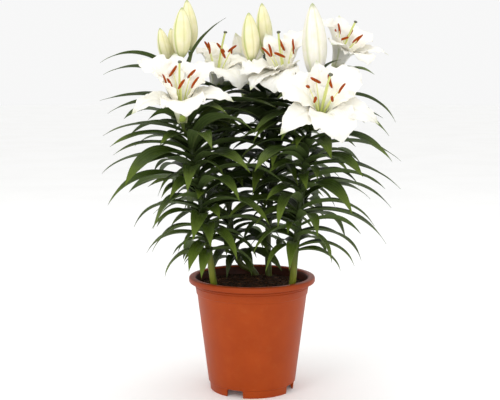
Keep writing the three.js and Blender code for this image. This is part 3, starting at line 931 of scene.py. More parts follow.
# %% The tepals find their places
def placed_tepals(bloom, item):
    """The six tepals of a bloom, as fine surfaces, clear of the other plants."""
    found, taken = [], []
    for n, (turn, spread, size) in enumerate(bloom["tepals"]):
        outer = n % 2 == 0
        kind = OUTER if outer else INNER
        phase = draw(0, 6)
        for aside, more, shrunk in TEPAL_BENDS:
            scale = size * shrunk
            sized = {**kind, "length": kind["length"] * scale, "width": kind["width"] * scale}
            surface = tepal_surface(sized, spread + more, turn + aside, phase)
            places, root = blade_samples(surface, sized["length"], sized["width"], TEPAL_ROOT)
            places = in_bloom(bloom, places)
            if is_clear(places, root, bloom["stem"], item):
                break
        fine = tepal_surface(sized, spread + more, turn + aside, phase, kind["frill"])
        found.append({"surface": fine, "outer": outer, "phase": phase})
        taken.append(places)
    for places in taken:
        claim(places, bloom["stem"], item)
    return found


tepals = [placed_tepals(bloom, BLOOM_ITEM + n) for n, bloom in enumerate(BLOOMS)]
print("tepals placed:", sum(len(found) for found in tepals))

# %% The leaves find their places
leaves = [[] for stem in STEMS]
leaf_item = LEAF_ITEM


def grow_leaf(stem, share, turn, length, width, lift, droop, sway, roll, height, around=NEIGHBOURS):
    """Adds a leaf to its stem if one of the bends gives it room."""
    global leaf_item
    leaf_item += 1
    out = np.array([math.cos(math.radians(turn)), math.sin(math.radians(turn)), 0])
    foot = stem_paths[stem](share) + LEAF_INSET * out
    for aside, up, size in LEAF_BENDS:
        slimmer = width * math.sqrt(size)
        bent = (turn + aside, length * size, slimmer, lift + up, droop + up / 2, sway, roll)
        places, root = blade_samples(leaf_surface(foot, *bent), length * size, width, LEAF_ROOT)
        if has_room(places, root) and is_clear(places, root, stem, leaf_item, around):
            claim(places, stem, leaf_item)
            leaves[stem].append({"surface": leaf_surface(foot, *bent, ripple=0.9), "height": height})
            return True
    return False


for leaf in LARGE_LEAVES:
    grow_leaf(*leaf, 0, 0, 1)

most = max(stem["leaves"]["count"] for stem in STEMS)
for i in range(most):
    for n, stem in enumerate(STEMS):
        rule = stem["leaves"]
        if i >= rule["count"]:
            continue
        height = i / (rule["count"] - 1)
        turn = rule["turn"] + GOLDEN_ANGLE * i + draw(-9, 9)
        length = mix(84, 138, smooth(height, 0, 0.42)) * draw(0.9, 1.1)
        width = mix(22, 29, smooth(height, 0, 0.7)) * draw(0.9, 1.1)
        lift = mix(22, 40, height) + draw(-7, 7)
        droop = mix(92, 72, height) + draw(-10, 10)
        sway, roll = draw(-14, 14), draw(-40, 40)
        share = mix(rule["from"], rule["to"], height)
        grow_leaf(n, share, turn, length, width, lift, droop, sway, roll, height)
print("leaves of the model:", [len(grown) for grown in leaves])

# %% [markdown]
# ## More leaves for a full plant
# The model holds only as many leaves as its solids can afford. A real lily is
# fuller, so smaller leaves now fill the free room between the ones that stand.
# They obey the same rule, only closer together, and grow from the same stems. A
# few by the flowers are given as a list, with the columns of the large
# leaves, and the others are drawn from a fixed seed.

# %% The smaller leaves
BRACTS = [
    (0, 0.995, 350, 116, 16, 74, 44),
    (1, 0.99, 327, 124, 34, 80, 104),
    (1, 0.995, 336, 104, 32, 84, 84),
    (0, 0.97, 345, 72, 30, 34, 70),
    (0, 0.93, 338, 84, 28, 40, 70),
    (3, 0.995, 350, 90, 17, 88, 104),
    (1, 0.995, 24, 96, 30, 72, 96),
    (1, 0.99, 250, 60, 18, 50, 80),
]

# These leaves may stand close: only the cells that they pass through must be free
CLOSE = np.array([(0, 0, 0)])
grown = [grow_leaf(*leaf, 0, 0, 1, CLOSE) for leaf in BRACTS]
print("leaves by the flowers that have room:", sum(grown), "of", len(BRACTS))

# Leaves all the way up the stems
FILLER = {"tries": 84, "length": (64, 100), "width": (15, 23), "seed": 5}
filler = random.Random(FILLER["seed"])
for i in range(FILLER["tries"]):
    for n, stem in enumerate(STEMS):
        rule = stem["leaves"]
        height = ((i + filler.random()) / FILLER["tries"]) ** 0.6
        grow_leaf(
            n,
            mix(rule["from"] - 0.02, rule["to"] + 0.02, height),
            filler.uniform(0, 360),
            filler.uniform(*FILLER["length"]) * mix(0.9, 1.25, height),
            filler.uniform(*FILLER["width"]) * mix(0.9, 1.25, height),
            mix(18, 38, height) + filler.uniform(-8, 10),
            mix(94, 74, height) + filler.uniform(-10, 12),
            filler.uniform(-16, 16),
            filler.uniform(-45, 45),
            height,
            CLOSE,
        )

# Broad leaves under the flowers, which lean over the middle of the plant
CROWN = {"tries": 26, "from": 0.78, "length": (84, 130), "width": (20, 32)}
for i in range(CROWN["tries"]):
    for n, stem in enumerate(STEMS):
        height = filler.uniform(CROWN["from"], 1.04)
        inwards = math.degrees(math.atan2(-stem["points"][-1][1], -stem["points"][-1][0]))
        grow_leaf(
            n,
            mix(stem["leaves"]["from"], stem["leaves"]["to"], height),
            inwards + filler.uniform(-110, 110),
            filler.uniform(*CROWN["length"]),
            filler.uniform(*CROWN["width"]),
            filler.uniform(10, 46),
            filler.uniform(50, 84),
            filler.uniform(-16, 16),
            filler.uniform(-40, 40),
            1,
            CLOSE,
        )
print("leaves in all:", [len(grown) for grown in leaves])

# %% [markdown]
# ## The pot
# A nursery pot is moulded in one piece: a thin tapered wall, a stepped foot with
# notches that let water out, a collar and a rolled rim. It is turned like a piece
# on a lathe: a ring of edges is drawn out step by step along its section, outside
# first and then down the inside, and closed by a face at each end. A spin of the
# section would do as well, but it leaves a seam that has to be merged.

# %% Turn the pot's section
ROUND = 144


def pot_radius(z):
    return mix(POT["foot_radius"], POT["top_radius"], z / POT["height"])


def pot_section():
    """The radius and height of each turn of the wall, from under the floor to above it."""
    top = POT["height"]
    under_rim = top - POT["rim_height"]
    collar = under_rim - POT["collar_height"]
    floor_top = POT["foot_height"] + POT["floor"]
    foot = POT["foot_radius"] - POT["foot_step"]
    proud = POT["collar_step"]
    ridges = []
    for line in (under_rim - 6.6, under_rim - 3.4):
        ridge = pot_radius(line) + proud
        ridges += [(ridge, line - 0.9), (ridge + 0.55, line - 0.3)]
        ridges += [(ridge + 0.55, line + 0.3), (ridge, line + 0.9)]
    return [
        (foot - POT["wall"] - 4, POT["foot_height"]),
        (foot - POT["wall"], 0),
        (foot, 0),
        (foot + 1, POT["foot_height"]),
        (pot_radius(POT["foot_height"]), POT["foot_height"] + 1.2),
        (pot_radius(collar), collar),
        (pot_radius(collar) + proud, collar + 1.2),
        *ridges,
        (pot_radius(under_rim) + proud, under_rim - 0.4),
        (POT["rim_radius"] - 3, under_rim - 0.5),
        (POT["rim_radius"] - 0.8, under_rim + 0.2),
        (POT["rim_radius"], under_rim + 1.8),
        (POT["rim_radius"], top - 2.2),
        (POT["rim_radius"] - 0.8, top - 0.6),
        (POT["rim_radius"] - 2.4, top),
        (pot_radius(top) + 0.6, top),
        (pot_radius(top) - POT["wall"], top - 2.4),
        (pot_radius(floor_top + 4) - POT["wall"], floor_top + 4),
        (pot_radius(floor_top) - POT["wall"] - 4, floor_top),
    ]


def turned(name, section, sides):
    """A closed body turned from a section: a list of radius and height."""
    deselect()
    radius, height = section[0]
    bpy.ops.mesh.primitive_circle_add(
        vertices=sides, radius=radius * MM, fill_type="NOTHING", location=(0, 0, height * MM)
    )
    piece = named(name)
    bpy.ops.object.transform_apply(location=True, rotation=False, scale=False)
    bpy.ops.object.mode_set(mode="EDIT")
    bpy.ops.mesh.select_all(action="SELECT")
    for wider, higher in section[1:]:
        bpy.ops.mesh.extrude_region_move(
            TRANSFORM_OT_translate={"value": (0, 0, (higher - height) * MM)}
        )
        share = wider / radius
        bpy.ops.transform.resize(value=(share, share, 1), center_override=(0, 0, higher * MM))
        radius, height = wider, higher
    bpy.ops.mesh.edge_face_add()
    bpy.ops.mesh.select_all(action="DESELECT")
    bpy.ops.mesh.select_mode(type="EDGE")
    bpy.ops.mesh.select_non_manifold()
    bpy.ops.mesh.edge_face_add()
    bpy.ops.mesh.select_all(action="SELECT")
    bpy.ops.mesh.normals_make_consistent(inside=False)
    bpy.ops.object.mode_set(mode="OBJECT")
    return piece


pot = turned("pot_shell", pot_section(), ROUND)
print("pot faces:", len(pot.data.polygons))

# %% [markdown]
# The four notches in the foot are cut with a rounded block, one after another, by
# a Boolean modifier that is applied at once. A small bevel then takes the hard
# edge off every step of the wall, as the mould does.

# %% Cut the notches and soften the edges
for n in range(NOTCH["count"]):
    turn = math.radians(NOTCH["first"] + 360 / NOTCH["count"] * n)
    centre = (POT["foot_radius"] * MM * math.cos(turn), POT["foot_radius"] * MM * math.sin(turn), 0)
    deselect()
    bpy.ops.mesh.primitive_cube_add(size=1, location=centre, rotation=(0, 0, turn))
    cutter = named("notch_cutter")
    cutter.scale = (NOTCH["depth"] * MM, NOTCH["width"] * MM, 2 * NOTCH["height"] * MM)
    bpy.ops.object.transform_apply(location=False, rotation=True, scale=True)
    apply_modifier(cutter, "BEVEL", width=2.5 * MM, segments=4, affect="EDGES")
    apply_modifier(pot, "BOOLEAN", operation="DIFFERENCE", object=cutter, solver="EXACT")
    bpy.data.objects.remove(cutter)
SHARP = math.radians(32)
apply_modifier(pot, "BEVEL", width=0.35 * MM, segments=2, limit_method="ANGLE", angle_limit=SHARP)
smooth_shaded(pot, 34)
stands_for(pot, "pot", "pot")
print("pot faces after cutting:", len(pot.data.polygons))

# %% [markdown]
# ## The finish of the pot
# Moulded plastic in a terracotta orange: satin, with faint vertical flow marks,
# a dusty bloom in patches and a deeper tone near the rim. The inside of the wall is
# painted dark brown in blotches: painted shade, for the shadow inside the pot. A
# picture could show all that, but would blur close up. So every mark is noise in
# the object's own coordinates, and the flow marks are noise that is stretched
# along the wall.

# %% Pot plastic
def pot_plastic():
    finish = Finish("pot_plastic", 0.4, specular_ior_level=0.17)
    cloudy = finish.speckle(26, detail=4)
    flow = finish.speckle(120, detail=2, stretch=(1, 1, 0.02))
    grain = finish.speckle(2600, detail=2)
    dust = finish.speckle(70, detail=6, roughness=0.7).between(0.5, 0.85)
    base = finish.blended(cloudy.between(0.3, 0.75), colour(152, 58, 6), colour(161, 64, 10))
    base = finish.blended(flow.between(0.35, 0.8) * 0.28, base, colour(150, 56, 14))
    base = finish.blended(dust * 0.12, base, colour(192, 123, 65))
    spot = finish.node("ShaderNodeSeparateXYZ", None, {"Vector": finish.place()})
    x, y, z = (Wire(finish, socket) for socket in spot.socket.node.outputs)
    radius = (x * x + y * y).power(0.5)
    height = z / (POT["height"] * MM)
    wall = mix(POT["foot_radius"], POT["top_radius"], height) * MM
    base = finish.blended(height.between(0.82, 0.95) * 0.4, base, colour(126, 43, 6))
    specks = finish.speckle(420, detail=5, roughness=0.75)
    base = finish.blended(specks.between(0.5, 0.75) * 0.22, base, colour(133, 49, 9))
    # Painted shade: the inner face of the wall, above the floor, is darkened in blotches to a dark brown
    inside = (wall - radius).between(0.4 * MM, 1.4 * MM) * height.between(0.1, 0.2)
    painted_inside_shade = finish.blended(cloudy.between(0.2, 0.8), colour(80, 32, 14), colour(46, 22, 12))
    finish.feed("Base Color", finish.blended(inside, base, painted_inside_shade))
    finish.feed("Roughness", 0.36 + 0.14 * cloudy + 0.12 * dust)
    finish.relief(0.6 * flow + 0.4 * grain, 0.12, 0.35)
    return finish.material


wear(pot_plastic(), pot)

# %% [markdown]
# ## The soil
# Peat fills the pot to a finger below its rim. Its top is drawn by insetting a
# disc many times, so that rings of faces are there to be pushed up and down by
# noise, and it heaps up a little round each stem. Crumbs of peat and bark then
# lie on it: each is a small ball, squashed and roughened, as there are hundreds.

# %% The bed of soil
SOIL_RINGS = 34


def soil_height(x, y):
    """The height of the soil's surface, in millimetres."""
    radius = math.hypot(x, y)
    crown = mix(SOIL["crown"], SOIL["edge"], min(1, radius / 80))
    rough = noise.fractal(Vector((x * 0.05, y * 0.05, 3.0)), 0.8, 2.1, 6)
    fine = noise.noise(Vector((x * 0.45, y * 0.45, 7.0)))
    heap = 0
    for path in stem_paths:
        foot = path(STEM_AT_SOIL)
        heap += 2.2 * math.exp(-((math.hypot(x - foot[0], y - foot[1]) / 11) ** 2))
    return crown + 1.7 * rough + 0.55 * fine + heap


def make_soil():
    low = POT["foot_height"] + POT["floor"] + GAP
    side = pot_radius(SOIL["edge"]) - POT["wall"] - GAP
    deselect()
    bpy.ops.mesh.primitive_circle_add(
        vertices=ROUND, radius=side * MM, fill_type="NGON", location=(0, 0, SOIL["edge"] * MM)
    )
    bed = named("soil_bed")
    bpy.ops.object.transform_apply(location=True, rotation=False, scale=False)
    bpy.ops.object.mode_set(mode="EDIT")
    bpy.ops.mesh.select_all(action="SELECT")
    for ring in range(SOIL_RINGS):
        bpy.ops.mesh.inset(thickness=side / (SOIL_RINGS + 2) * MM)
    bpy.ops.mesh.poke()
    bpy.ops.object.mode_set(mode="OBJECT")
    places = corners(bed) / MM
    for place in places:
        if math.hypot(place[0], place[1]) < side - 0.5:
            place[2] = soil_height(place[0], place[1])
    put(bed, places)
    bpy.ops.object.mode_set(mode="EDIT")
    bpy.ops.mesh.select_mode(type="EDGE")
    bpy.ops.mesh.select_all(action="DESELECT")
    bpy.ops.mesh.select_non_manifold()
    share = (pot_radius(low) - POT["wall"] - GAP - 5.5) / side
    down = (0, 0, (low - SOIL["edge"]) * MM)
    bpy.ops.mesh.extrude_region_move(TRANSFORM_OT_translate={"value": down})
    bpy.ops.transform.resize(value=(share, share, 1), center_override=(0, 0, low * MM))
    bpy.ops.mesh.edge_face_add()
    bpy.ops.mesh.select_all(action="SELECT")
    bpy.ops.mesh.normals_make_consistent(inside=False)
    bpy.ops.object.mode_set(mode="OBJECT")
    smooth_shaded(bed, 60)
    return bed


soil = make_soil()
stands_for(soil, "soil", "soil")
print("soil faces:", len(soil.data.polygons))

# %% Crumbs of peat and bark
CRUMBS = {"count": 520, "size": (0.8, 3.4), "kinds": 6, "radius": 78.5, "clear": 6, "seed": 11}


def make_crumbs():
    pick_one = random.Random(CRUMBS["seed"])
    kinds = []
    for n in range(CRUMBS["kinds"]):
        deselect()
        bpy.ops.mesh.primitive_uv_sphere_add(segments=8, ring_count=5, radius=1)
        kind = named(f"crumb_kind_{n}")
        bent = []
        for x, y, z in corners(kind):
            lump = 1 + 0.45 * noise.noise(Vector((x * 1.3 + 9 * n, y * 1.3, z * 1.3)))
            bent.append((x * lump, y * lump * (0.7 + 0.1 * n), z * lump * 0.6))
        put(kind, np.array(bent) / MM)
        kinds.append(kind)
    pieces = []
    while len(pieces) < CRUMBS["count"]:
        radius = CRUMBS["radius"] * math.sqrt(pick_one.random())
        turn = pick_one.uniform(0, 2 * math.pi)
        x, y = radius * math.cos(turn), radius * math.sin(turn)
        size = mix(*CRUMBS["size"], pick_one.random() ** 2.6)
        feet = [path(STEM_AT_SOIL) for path in stem_paths]
        if min(math.hypot(x - foot[0], y - foot[1]) for foot in feet) < CRUMBS["clear"] + size:
            continue
        crumb = copied(pick_one.choice(kinds), "crumb")
        spin = np.array(Matrix.Rotation(pick_one.uniform(0, 6.28), 3, "Z"))
        lean = np.array(Matrix.Rotation(pick_one.uniform(-0.5, 0.5), 3, "X"))
        put(crumb, corners(crumb) * size @ lean @ spin + [x, y, soil_height(x, y) + 0.15 * size])
        pieces.append(crumb)
    for kind in kinds:
        bpy.data.objects.remove(kind)
    return joined("soil_crumbs", pieces)


crumbs = make_crumbs()
smooth_shaded(crumbs, 50)
stands_for(crumbs, "soil", "soil")
print("crumb faces:", len(crumbs.data.polygons))

# %% [markdown]
# ## The finish of the soil
# Moist peat is nearly black, with brown lumps and paler fibres, and hardly
# shines. One noise sets both the colour and the relief of the lumps, so that the
# dark places are also the low ones. The fibres are a second noise, drawn out
# along one axis, which is cheaper than modelling every hair.

# %% Peat
def peat():
    finish = Finish("peat", 0.95, specular_ior_level=0.12)
    lumps = finish.speckle(240, detail=6, roughness=0.65)
    fibres = finish.speckle(700, detail=3, stretch=(1, 0.3, 1)).between(0.6, 0.78)
    base = finish.blended(lumps.between(0.3, 0.7), colour(26, 17, 11), colour(67, 44, 29))
    finish.feed("Base Color", finish.blended(fibres * 0.55, base, colour(110, 80, 56)))
    finish.relief(lumps, 1.1, 0.9)
    return finish.material


wear(peat(), soil, crumbs)

# %% [markdown]
# ## The stems and stalks
# A stem is drawn as a curve with a thickness that changes along it: a path is
# added, its points are set, and it is then converted to a mesh. Where a leaf
# leaves the stem there is a slight swelling, so the stem looks grown, not drawn.
# The stalks that carry blooms and buds swell towards the flower. Drawing out a
# ring step by step would need every turn worked out, and the curve does that.

# %% Draw a stem or stalk
def drawn_along(name, path, radius_at, count, fineness):
    """A closed round rod along a path."""
    deselect()
    bpy.ops.curve.primitive_nurbs_path_add()
    line = bpy.context.object
    curve = line.data
    curve.splines.clear()
    spline = curve.splines.new("POLY")
    spline.points.add(count)
    for i, point in enumerate(spline.points):
        point.co = (*(path(i / count) * MM), 1)
        point.radius = float(radius_at(i / count))
    curve.bevel_depth = MM
    curve.bevel_resolution = fineness
    curve.use_fill_caps = True
    bpy.ops.object.convert(target="MESH")
    rod = named(name)
    places = corners(rod) / MM
    return rod, places


LEAF_JOINTS = []
for stem in STEMS:
    rule = stem["leaves"]
    LEAF_JOINTS.append(np.linspace(rule["from"], rule["to"], rule["count"]))


def jointed_radius(stem, share):
    """The stem's radius, with a swelling at each leaf."""
    nearest = np.abs(LEAF_JOINTS[stem] - share).min()
    return stem_radius(share) - 0.25 + 0.5 * math.exp(-((nearest / 0.003) ** 2))


# The height at which the stems begin, and how far up their colour changes
GREEN_FROM, GREEN_HEIGHT = 84, 390


def green_rod(path, radius_at, count, fineness, stalk, shaded):
    """A stem or stalk, marked with its height on the plant, what it is, and whether it gets painted
    shade.
    """
    rod, places = drawn_along("rod", path, radius_at, count, fineness)
    mark(rod, "height", (places[:, 2] - GREEN_FROM) / GREEN_HEIGHT)
    mark(rod, "stalk", stalk)
    mark(rod, "shaded", shaded)
    return rod


green_rods = []
for n, stem in enumerate(STEMS):
    # The stems at the back get painted shade: their green is darkened as if they stood in the plant's
    # shade
    shaded = stem["name"].startswith("back")
    rods = [green_rod(stem_paths[n], lambda share: jointed_radius(n, share), 260, 6, 0, shaded)]
    rods += [green_rod(stalk, stalk_radius, 28, 4, 1, 0) for stalk in stalks[n]]
    whole = joined(f"{stem['name']}_stem", rods)
    smooth_shaded(whole, 50)
    stands_for(whole, "leaf", f"stem_{stem['name']}")
    green_rods.append(whole)
print("stem faces:", [len(rod.data.polygons) for rod in green_rods])

# %% [markdown]
# ## Bark and dead roots on the soil
# Bought peat holds chips of bark and dead fibres. A chip is one bevelled block,
# flattened and turned for each copy. A fibre is drawn like a stem, only thinner,
# and wanders over the soil, half sunk into it. Both are brown, with a rough grain.

# %% Bark chips and fibres
LITTER = {"chips": 54, "fibres": 80, "radius": 74, "seed": 23}


def make_litter():
    pick_one = random.Random(LITTER["seed"])

    def spot():
        radius = LITTER["radius"] * math.sqrt(pick_one.random())
        turn = pick_one.uniform(0, 2 * math.pi)
        return radius * math.cos(turn), radius * math.sin(turn)

    deselect()
    bpy.ops.mesh.primitive_cube_add(size=1)
    chip_blank = named("chip_blank")
    apply_modifier(chip_blank, "BEVEL", width=0.2, segments=2, affect="EDGES")
    pieces = []
    for n in range(LITTER["chips"]):
        x, y = spot()
        size = [pick_one.uniform(2.5, 7.5), pick_one.uniform(1.5, 3.2), pick_one.uniform(0.7, 1.4)]
        lean = np.array(Matrix.Rotation(pick_one.uniform(-0.3, 0.3), 3, "Y"))
        spin = np.array(Matrix.Rotation(pick_one.uniform(0, 6.28), 3, "Z"))
        chip = copied(chip_blank, "chip")
        put(chip, corners(chip_blank) * size @ lean @ spin + [x, y, soil_height(x, y) + 0.4])
        pieces.append(chip)
    bpy.data.objects.remove(chip_blank)
    for n in range(LITTER["fibres"]):
        x, y = spot()
        turn = pick_one.uniform(0, 360)
        reach = pick_one.uniform(4, 11)
        points = []
        for step in range(4):
            points.append((x, y, soil_height(x, y) + pick_one.uniform(-0.2, 0.9)))
            turn += pick_one.uniform(-50, 50)
            ahead = (x + reach * math.cos(math.radians(turn)), y + reach * math.sin(math.radians(turn)))
            x, y = ahead if math.hypot(*ahead) < LITTER["radius"] + 4 else (x - 1, y - 1)
        thinning = lambda share: mix(0.42, 0.2, share)
        pieces.append(drawn_along("fibre", through(points), thinning, 14, 1)[0])
    return joined("soil_litter", pieces)


def bark_brown():
    finish = Finish("bark_brown", 0.85, specular_ior_level=0.15)
    patches = finish.speckle(260, detail=4)
    base = finish.blended(patches.between(0.35, 0.65), colour(58, 35, 22), colour(112, 74, 46))
    finish.feed("Base Color", base)
    finish.relief(finish.speckle(900, detail=3, stretch=(1, 0.3, 1)), 0.4, 0.7)
    return finish.material


litter = make_litter()
smooth_shaded(litter, 40)
wear(bark_brown(), litter)
stands_for(litter, "soil", "soil")
print("litter faces:", len(litter.data.polygons))

# %% [markdown]
# ## The finish of the stems
# Low down the stems are yellow-green and mottled, and higher up they are dark
# green. Stalks are paler, and the two stems at the back are painted darker, as
# painted shade from the plant around them. Faint stripes run along them all. A stem
# and its stalks are one piece that has to show different greens, so the height, the
# kind of rod and the painted shade of the back stems are written on its vertices.

# %% Stem green
def stem_green():
    finish = Finish("stem_green", 0.42, specular_ior_level=0.22)
    height = finish.attribute("height")
    stalk = finish.attribute("stalk")
    shaded = finish.attribute("shaded")
    mottled = finish.speckle(90, detail=4, stretch=(1, 1, 0.3))
    stripes = finish.speckle(420, detail=2, stretch=(1, 1, 0.05))
    low = finish.blended(mottled.between(0.3, 0.7), colour(124, 128, 38), colour(94, 102, 26))
    high = finish.blended(mottled.between(0.3, 0.7), colour(40, 52, 21), colour(57, 71, 29))
    base = finish.blended((height + 0.1 * mottled).between(0.2, 0.5), low, high)
    # Painted shade: the stems at the back are darkened towards a shadowed green
    base = finish.blended(shaded * 0.7, base, colour(52, 58, 26))
    base = finish.blended(stalk * 0.7, base, colour(107, 122, 60))
    base = finish.blended(stripes.between(0.5, 0.8) * 0.3, base, colour(52, 62, 26))
    finish.feed("Base Color", base)
    finish.relief(stripes, 0.2, 0.4)
    return finish.material


wear(stem_green(), *green_rods)

# %% [markdown]
# ## Blades
# Leaves and tepals are both blades. One flat blank is modelled: a grid, given a
# thickness by Solidify so that it is closed. Each leaf is a copy of the blank
# whose vertices are laid on the leaf's surface, a little above it for the upper
# sheet and below it for the lower one. The grid's own UV map runs across and
# along, so veins can follow the blade wherever it bends.

# %% A flat blank and how it is bent onto a surface
def blank_blade(name, columns, rows):
    deselect()
    bpy.ops.mesh.primitive_grid_add(x_subdivisions=columns, y_subdivisions=rows, size=2)
    blank = named(name)
    apply_modifier(blank, "SOLIDIFY", thickness=0.2, offset=0)
    return blank


def bent(blank, name, surface, thickness, first=0.002, last=0.998):
    """A copy of the blank on a surface, thickest along its middle. Returns its sides too."""
    twin = copied(blank, name)
    flat = corners(blank)
    q, side = flat[:, 0], np.sign(flat[:, 2])
    s = mix(first, last, (flat[:, 1] + 1) / 2)
    nudge = 1e-3
    near = s.clip(0.01, 0.985)
    across = surface(q + nudge, near) - surface(q - nudge, near)
    along = surface(q, near + nudge) - surface(q, near - nudge)
    normal = np.cross(across, along)
    normal /= np.linalg.norm(normal, axis=1)[:, None]
    half = thickness / 2 * (1 - 0.65 * np.abs(q) ** 3) * (1 - 0.6 * smooth(s, 0.7, 1))
    put(twin, surface(q, s) + normal * (side * half)[:, None])
    return twin, side


# %% The leaves
leaf_blank = blank_blade("leaf_blank", columns=8, rows=22)
shade = random.Random(31)

# Painted shade: a leaf is painted darkest this near to the middle of the plant, and unchanged that far
# out
SHADY = (20, 115)
foliage = []
for n, stem in enumerate(STEMS):
    pieces = []
    for leaf in leaves[n]:
        piece, side = bent(leaf_blank, "leaf", leaf["surface"], LEAF_THICKNESS)
        mark(piece, "under", side < 0)
        mark(piece, "tint", shade.uniform(0, 1))
        mark(piece, "height", leaf["height"])
        x, y = corners(piece)[:, :2].T / MM
        # Painted shade: how near each vertex lies to the middle of the plant, where leaves are painted
        # darker
        mark(piece, "inner", 1 - smooth(np.hypot(x, y), *SHADY))
        pieces.append(piece)
    whole = joined(f"{stem['name']}_leaves", pieces)
    smooth_shaded(whole, 42)
    stands_for(whole, "leaf", f"stem_{stem['name']}")
    foliage.append(whole)
bpy.data.objects.remove(leaf_blank)
print("leaf faces:", [len(whole.data.polygons) for whole in foliage])

# %% [markdown]
# ## The finish of a leaf
# The upper side is a dark green with a waxy gloss, the lower side paler and
# duller. Fine veins run side by side from foot to tip, the rib is a lighter line,
# and the dark foot fades to a yellow-green tip. Each leaf has a tint of its own,
# because no two have had the same light. All leaves are painted darker near the
# middle of the plant: painted shade, where the other leaves would shade them.

# %% Leaf green
def leaf_green():
    finish = Finish("leaf_green", 0.4, specular_ior_level=0.19)
    across, along = finish.across_and_along()
    under = finish.attribute("under")
    tint = finish.attribute("tint")
    height = finish.attribute("height")
    cloudy = finish.speckle(60, detail=4)
    from_rib = (across - 0.5).size() * 2
    veins = ((across * 2 * math.pi * 7 + math.pi / 2).wave() * 0.5 + 0.5).power(3)
    small = (across * 2 * math.pi * 23 + cloudy * 3).wave() * 0.5 + 0.5
    rib = 1 - from_rib.between(0.0, 0.09)
    dark = finish.blended(tint, colour(22, 31, 9), colour(45, 59, 16))
    dark = finish.blended(cloudy.between(0.35, 0.75) * 0.45, dark, colour(60, 80, 26))
    foot = 1 - along.between(0.05, 0.55)
    dark = finish.blended(foot * 0.5, dark, colour(17, 23, 9))
    dark = finish.blended(veins * 0.3, dark, colour(80, 101, 40))
    dark = finish.blended(small * 0.12, dark, colour(71, 92, 36))
    tip = (along + 0.12 * cloudy - 0.1 * tint).between(0.58, 1.0)
    dark = finish.blended(tip * 0.55, dark, colour(113, 133, 40))
    dark = finish.blended(rib * 0.45 * (1 - along), dark, colour(110, 124, 62))
    pale = finish.blended(veins * 0.5, colour(70, 88, 42), colour(94, 108, 58))
    pale = finish.blended(rib * 0.6, pale, colour(130, 140, 84))
    low = (1 - height).between(0.55, 1.0)
    upper = finish.blended(low * 0.38, dark, colour(98, 118, 36))
    base = finish.blended(under, upper, pale)
    # Painted shade: leaves near the middle of the plant are darkened towards a shadowed green
    inner = finish.attribute("inner")
    finish.feed("Base Color", finish.blended(inner * 0.62, base, colour(18, 27, 10)))
    finish.feed("Roughness", 0.34 + 0.12 * cloudy + 0.16 * under)
    finish.relief(0.3 * small - 0.7 * veins - 1.2 * rib, 0.4, 0.7)
    return finish.material


wear(leaf_green(), *foliage)

# %% [markdown]
# ## The blooms
# Each bloom is six tepals round a small green cup, at the end of its stalk. They
# could be sculpted one by one, but the surfaces worked out above are already
# clear of their neighbours, so a blank is laid on each. It has more rows than the
# leaf's, because the ruffles are close.

# %% Tepals, cup and receptacle
tepal_blank = blank_blade("tepal_blank", columns=24, rows=60)
TEPAL_THICKNESS = 1.0
CUP_SECTION = [
    (2.2, 0),
    (3.6, 0.4),
    (6.2, 2.6),
    (8.6, 5.5),
    (10.6, THROAT - 4),
    (10.4, THROAT - 3),
    (6, 12),
    (2, 10),
]
blooms = []
for n, bloom in enumerate(BLOOMS):
    pieces = []
    for tepal in tepals[n]:
        surface = tepal["surface"]
        in_place = lambda q, s: in_bloom(bloom, surface(q, s))
        piece, side = bent(tepal_blank, "tepal", in_place, TEPAL_THICKNESS * bloom["size"])
        mark(piece, "under", side > 0)
        mark(piece, "outer", tepal["outer"])
        mark(piece, "tint", tepal["phase"] / 6)
        pieces.append(piece)
    cup = turned("cup", CUP_SECTION, 36)
    put(cup, in_bloom(bloom, corners(cup) / MM))
    mark(cup, "cup", 1)
    pieces.append(cup)
    whole = joined(f"{bloom['name']}_tepals", pieces)
    smooth_shaded(whole, 46)
    stands_for(whole, "petal", f"bloom_{bloom['name']}_petals")
    blooms.append(whole)
bpy.data.objects.remove(tepal_blank)
print("bloom faces:", [len(whole.data.polygons) for whole in blooms])

# %% [markdown]
# ## The finish of a tepal
# White, but never plain: greenish yellow in the throat, a faint green rib outside,
# green at the narrow tips, soft veins along its length and small warts near the
# throat. Light goes a little way into it, so it has some subsurface scattering.

# %% Tepal white
def tepal_white():
    finish = Finish("tepal_white", 0.5, subsurface_weight=0.3, subsurface_scale=0.003)
    finish.feed("Subsurface Radius", (1.0, 0.9, 0.75))
    across, along = finish.across_and_along()
    under = finish.attribute("under")
    outer = finish.attribute("outer")
    cup = finish.attribute("cup")
    cloudy = finish.speckle(70, detail=3)
    from_rib = (across - 0.5).size() * 2
    veins = (across * 2 * math.pi * 21 + cloudy * 2).wave() * 0.5 + 0.5
    rib = 1 - from_rib.between(0.0, 0.13)
    white = finish.blended(cloudy.between(0.3, 0.8), colour(251, 248, 239), colour(245, 241, 228))
    white = finish.blended(veins * 0.22, white, colour(222, 216, 190))
    throat = 1 - (along + 0.03 * cloudy).between(0.08, 0.26)
    white = finish.blended(throat * 0.75, white, colour(206, 212, 132))
    white = finish.blended(rib * (1 - along) * 0.35, white, colour(218, 222, 164))
    green_rib = rib * under * (1 - along.between(0.15, 0.9) * 0.6)
    white = finish.blended(green_rib * 0.5, white, colour(186, 200, 120))
    tip = along.between(0.9, 1.0) * outer
    white = finish.blended(tip * 0.7, white, colour(196, 206, 128))
    warts = finish.speckle(520, detail=1).between(0.6, 0.72)
    warts = warts * (1 - along.between(0.25, 0.45)) * (1 - under)
    finish.feed("Base Color", finish.blended(cup, white, colour(164, 182, 84)))
    finish.relief(0.5 * veins + 1.2 * rib + 1.2 * warts, 0.5, 0.7)
    return finish.material


wear(tepal_white(), *blooms)

# %% [markdown]
# ## Stamens and pistils
# A filament is a thin tapered rod. An anther is a ball drawn out to a long pod
# with a furrow down its middle, slightly curved; it is modelled once and each copy
# is turned to the way that anther lies. The pistil ends in a stigma of three lobes.

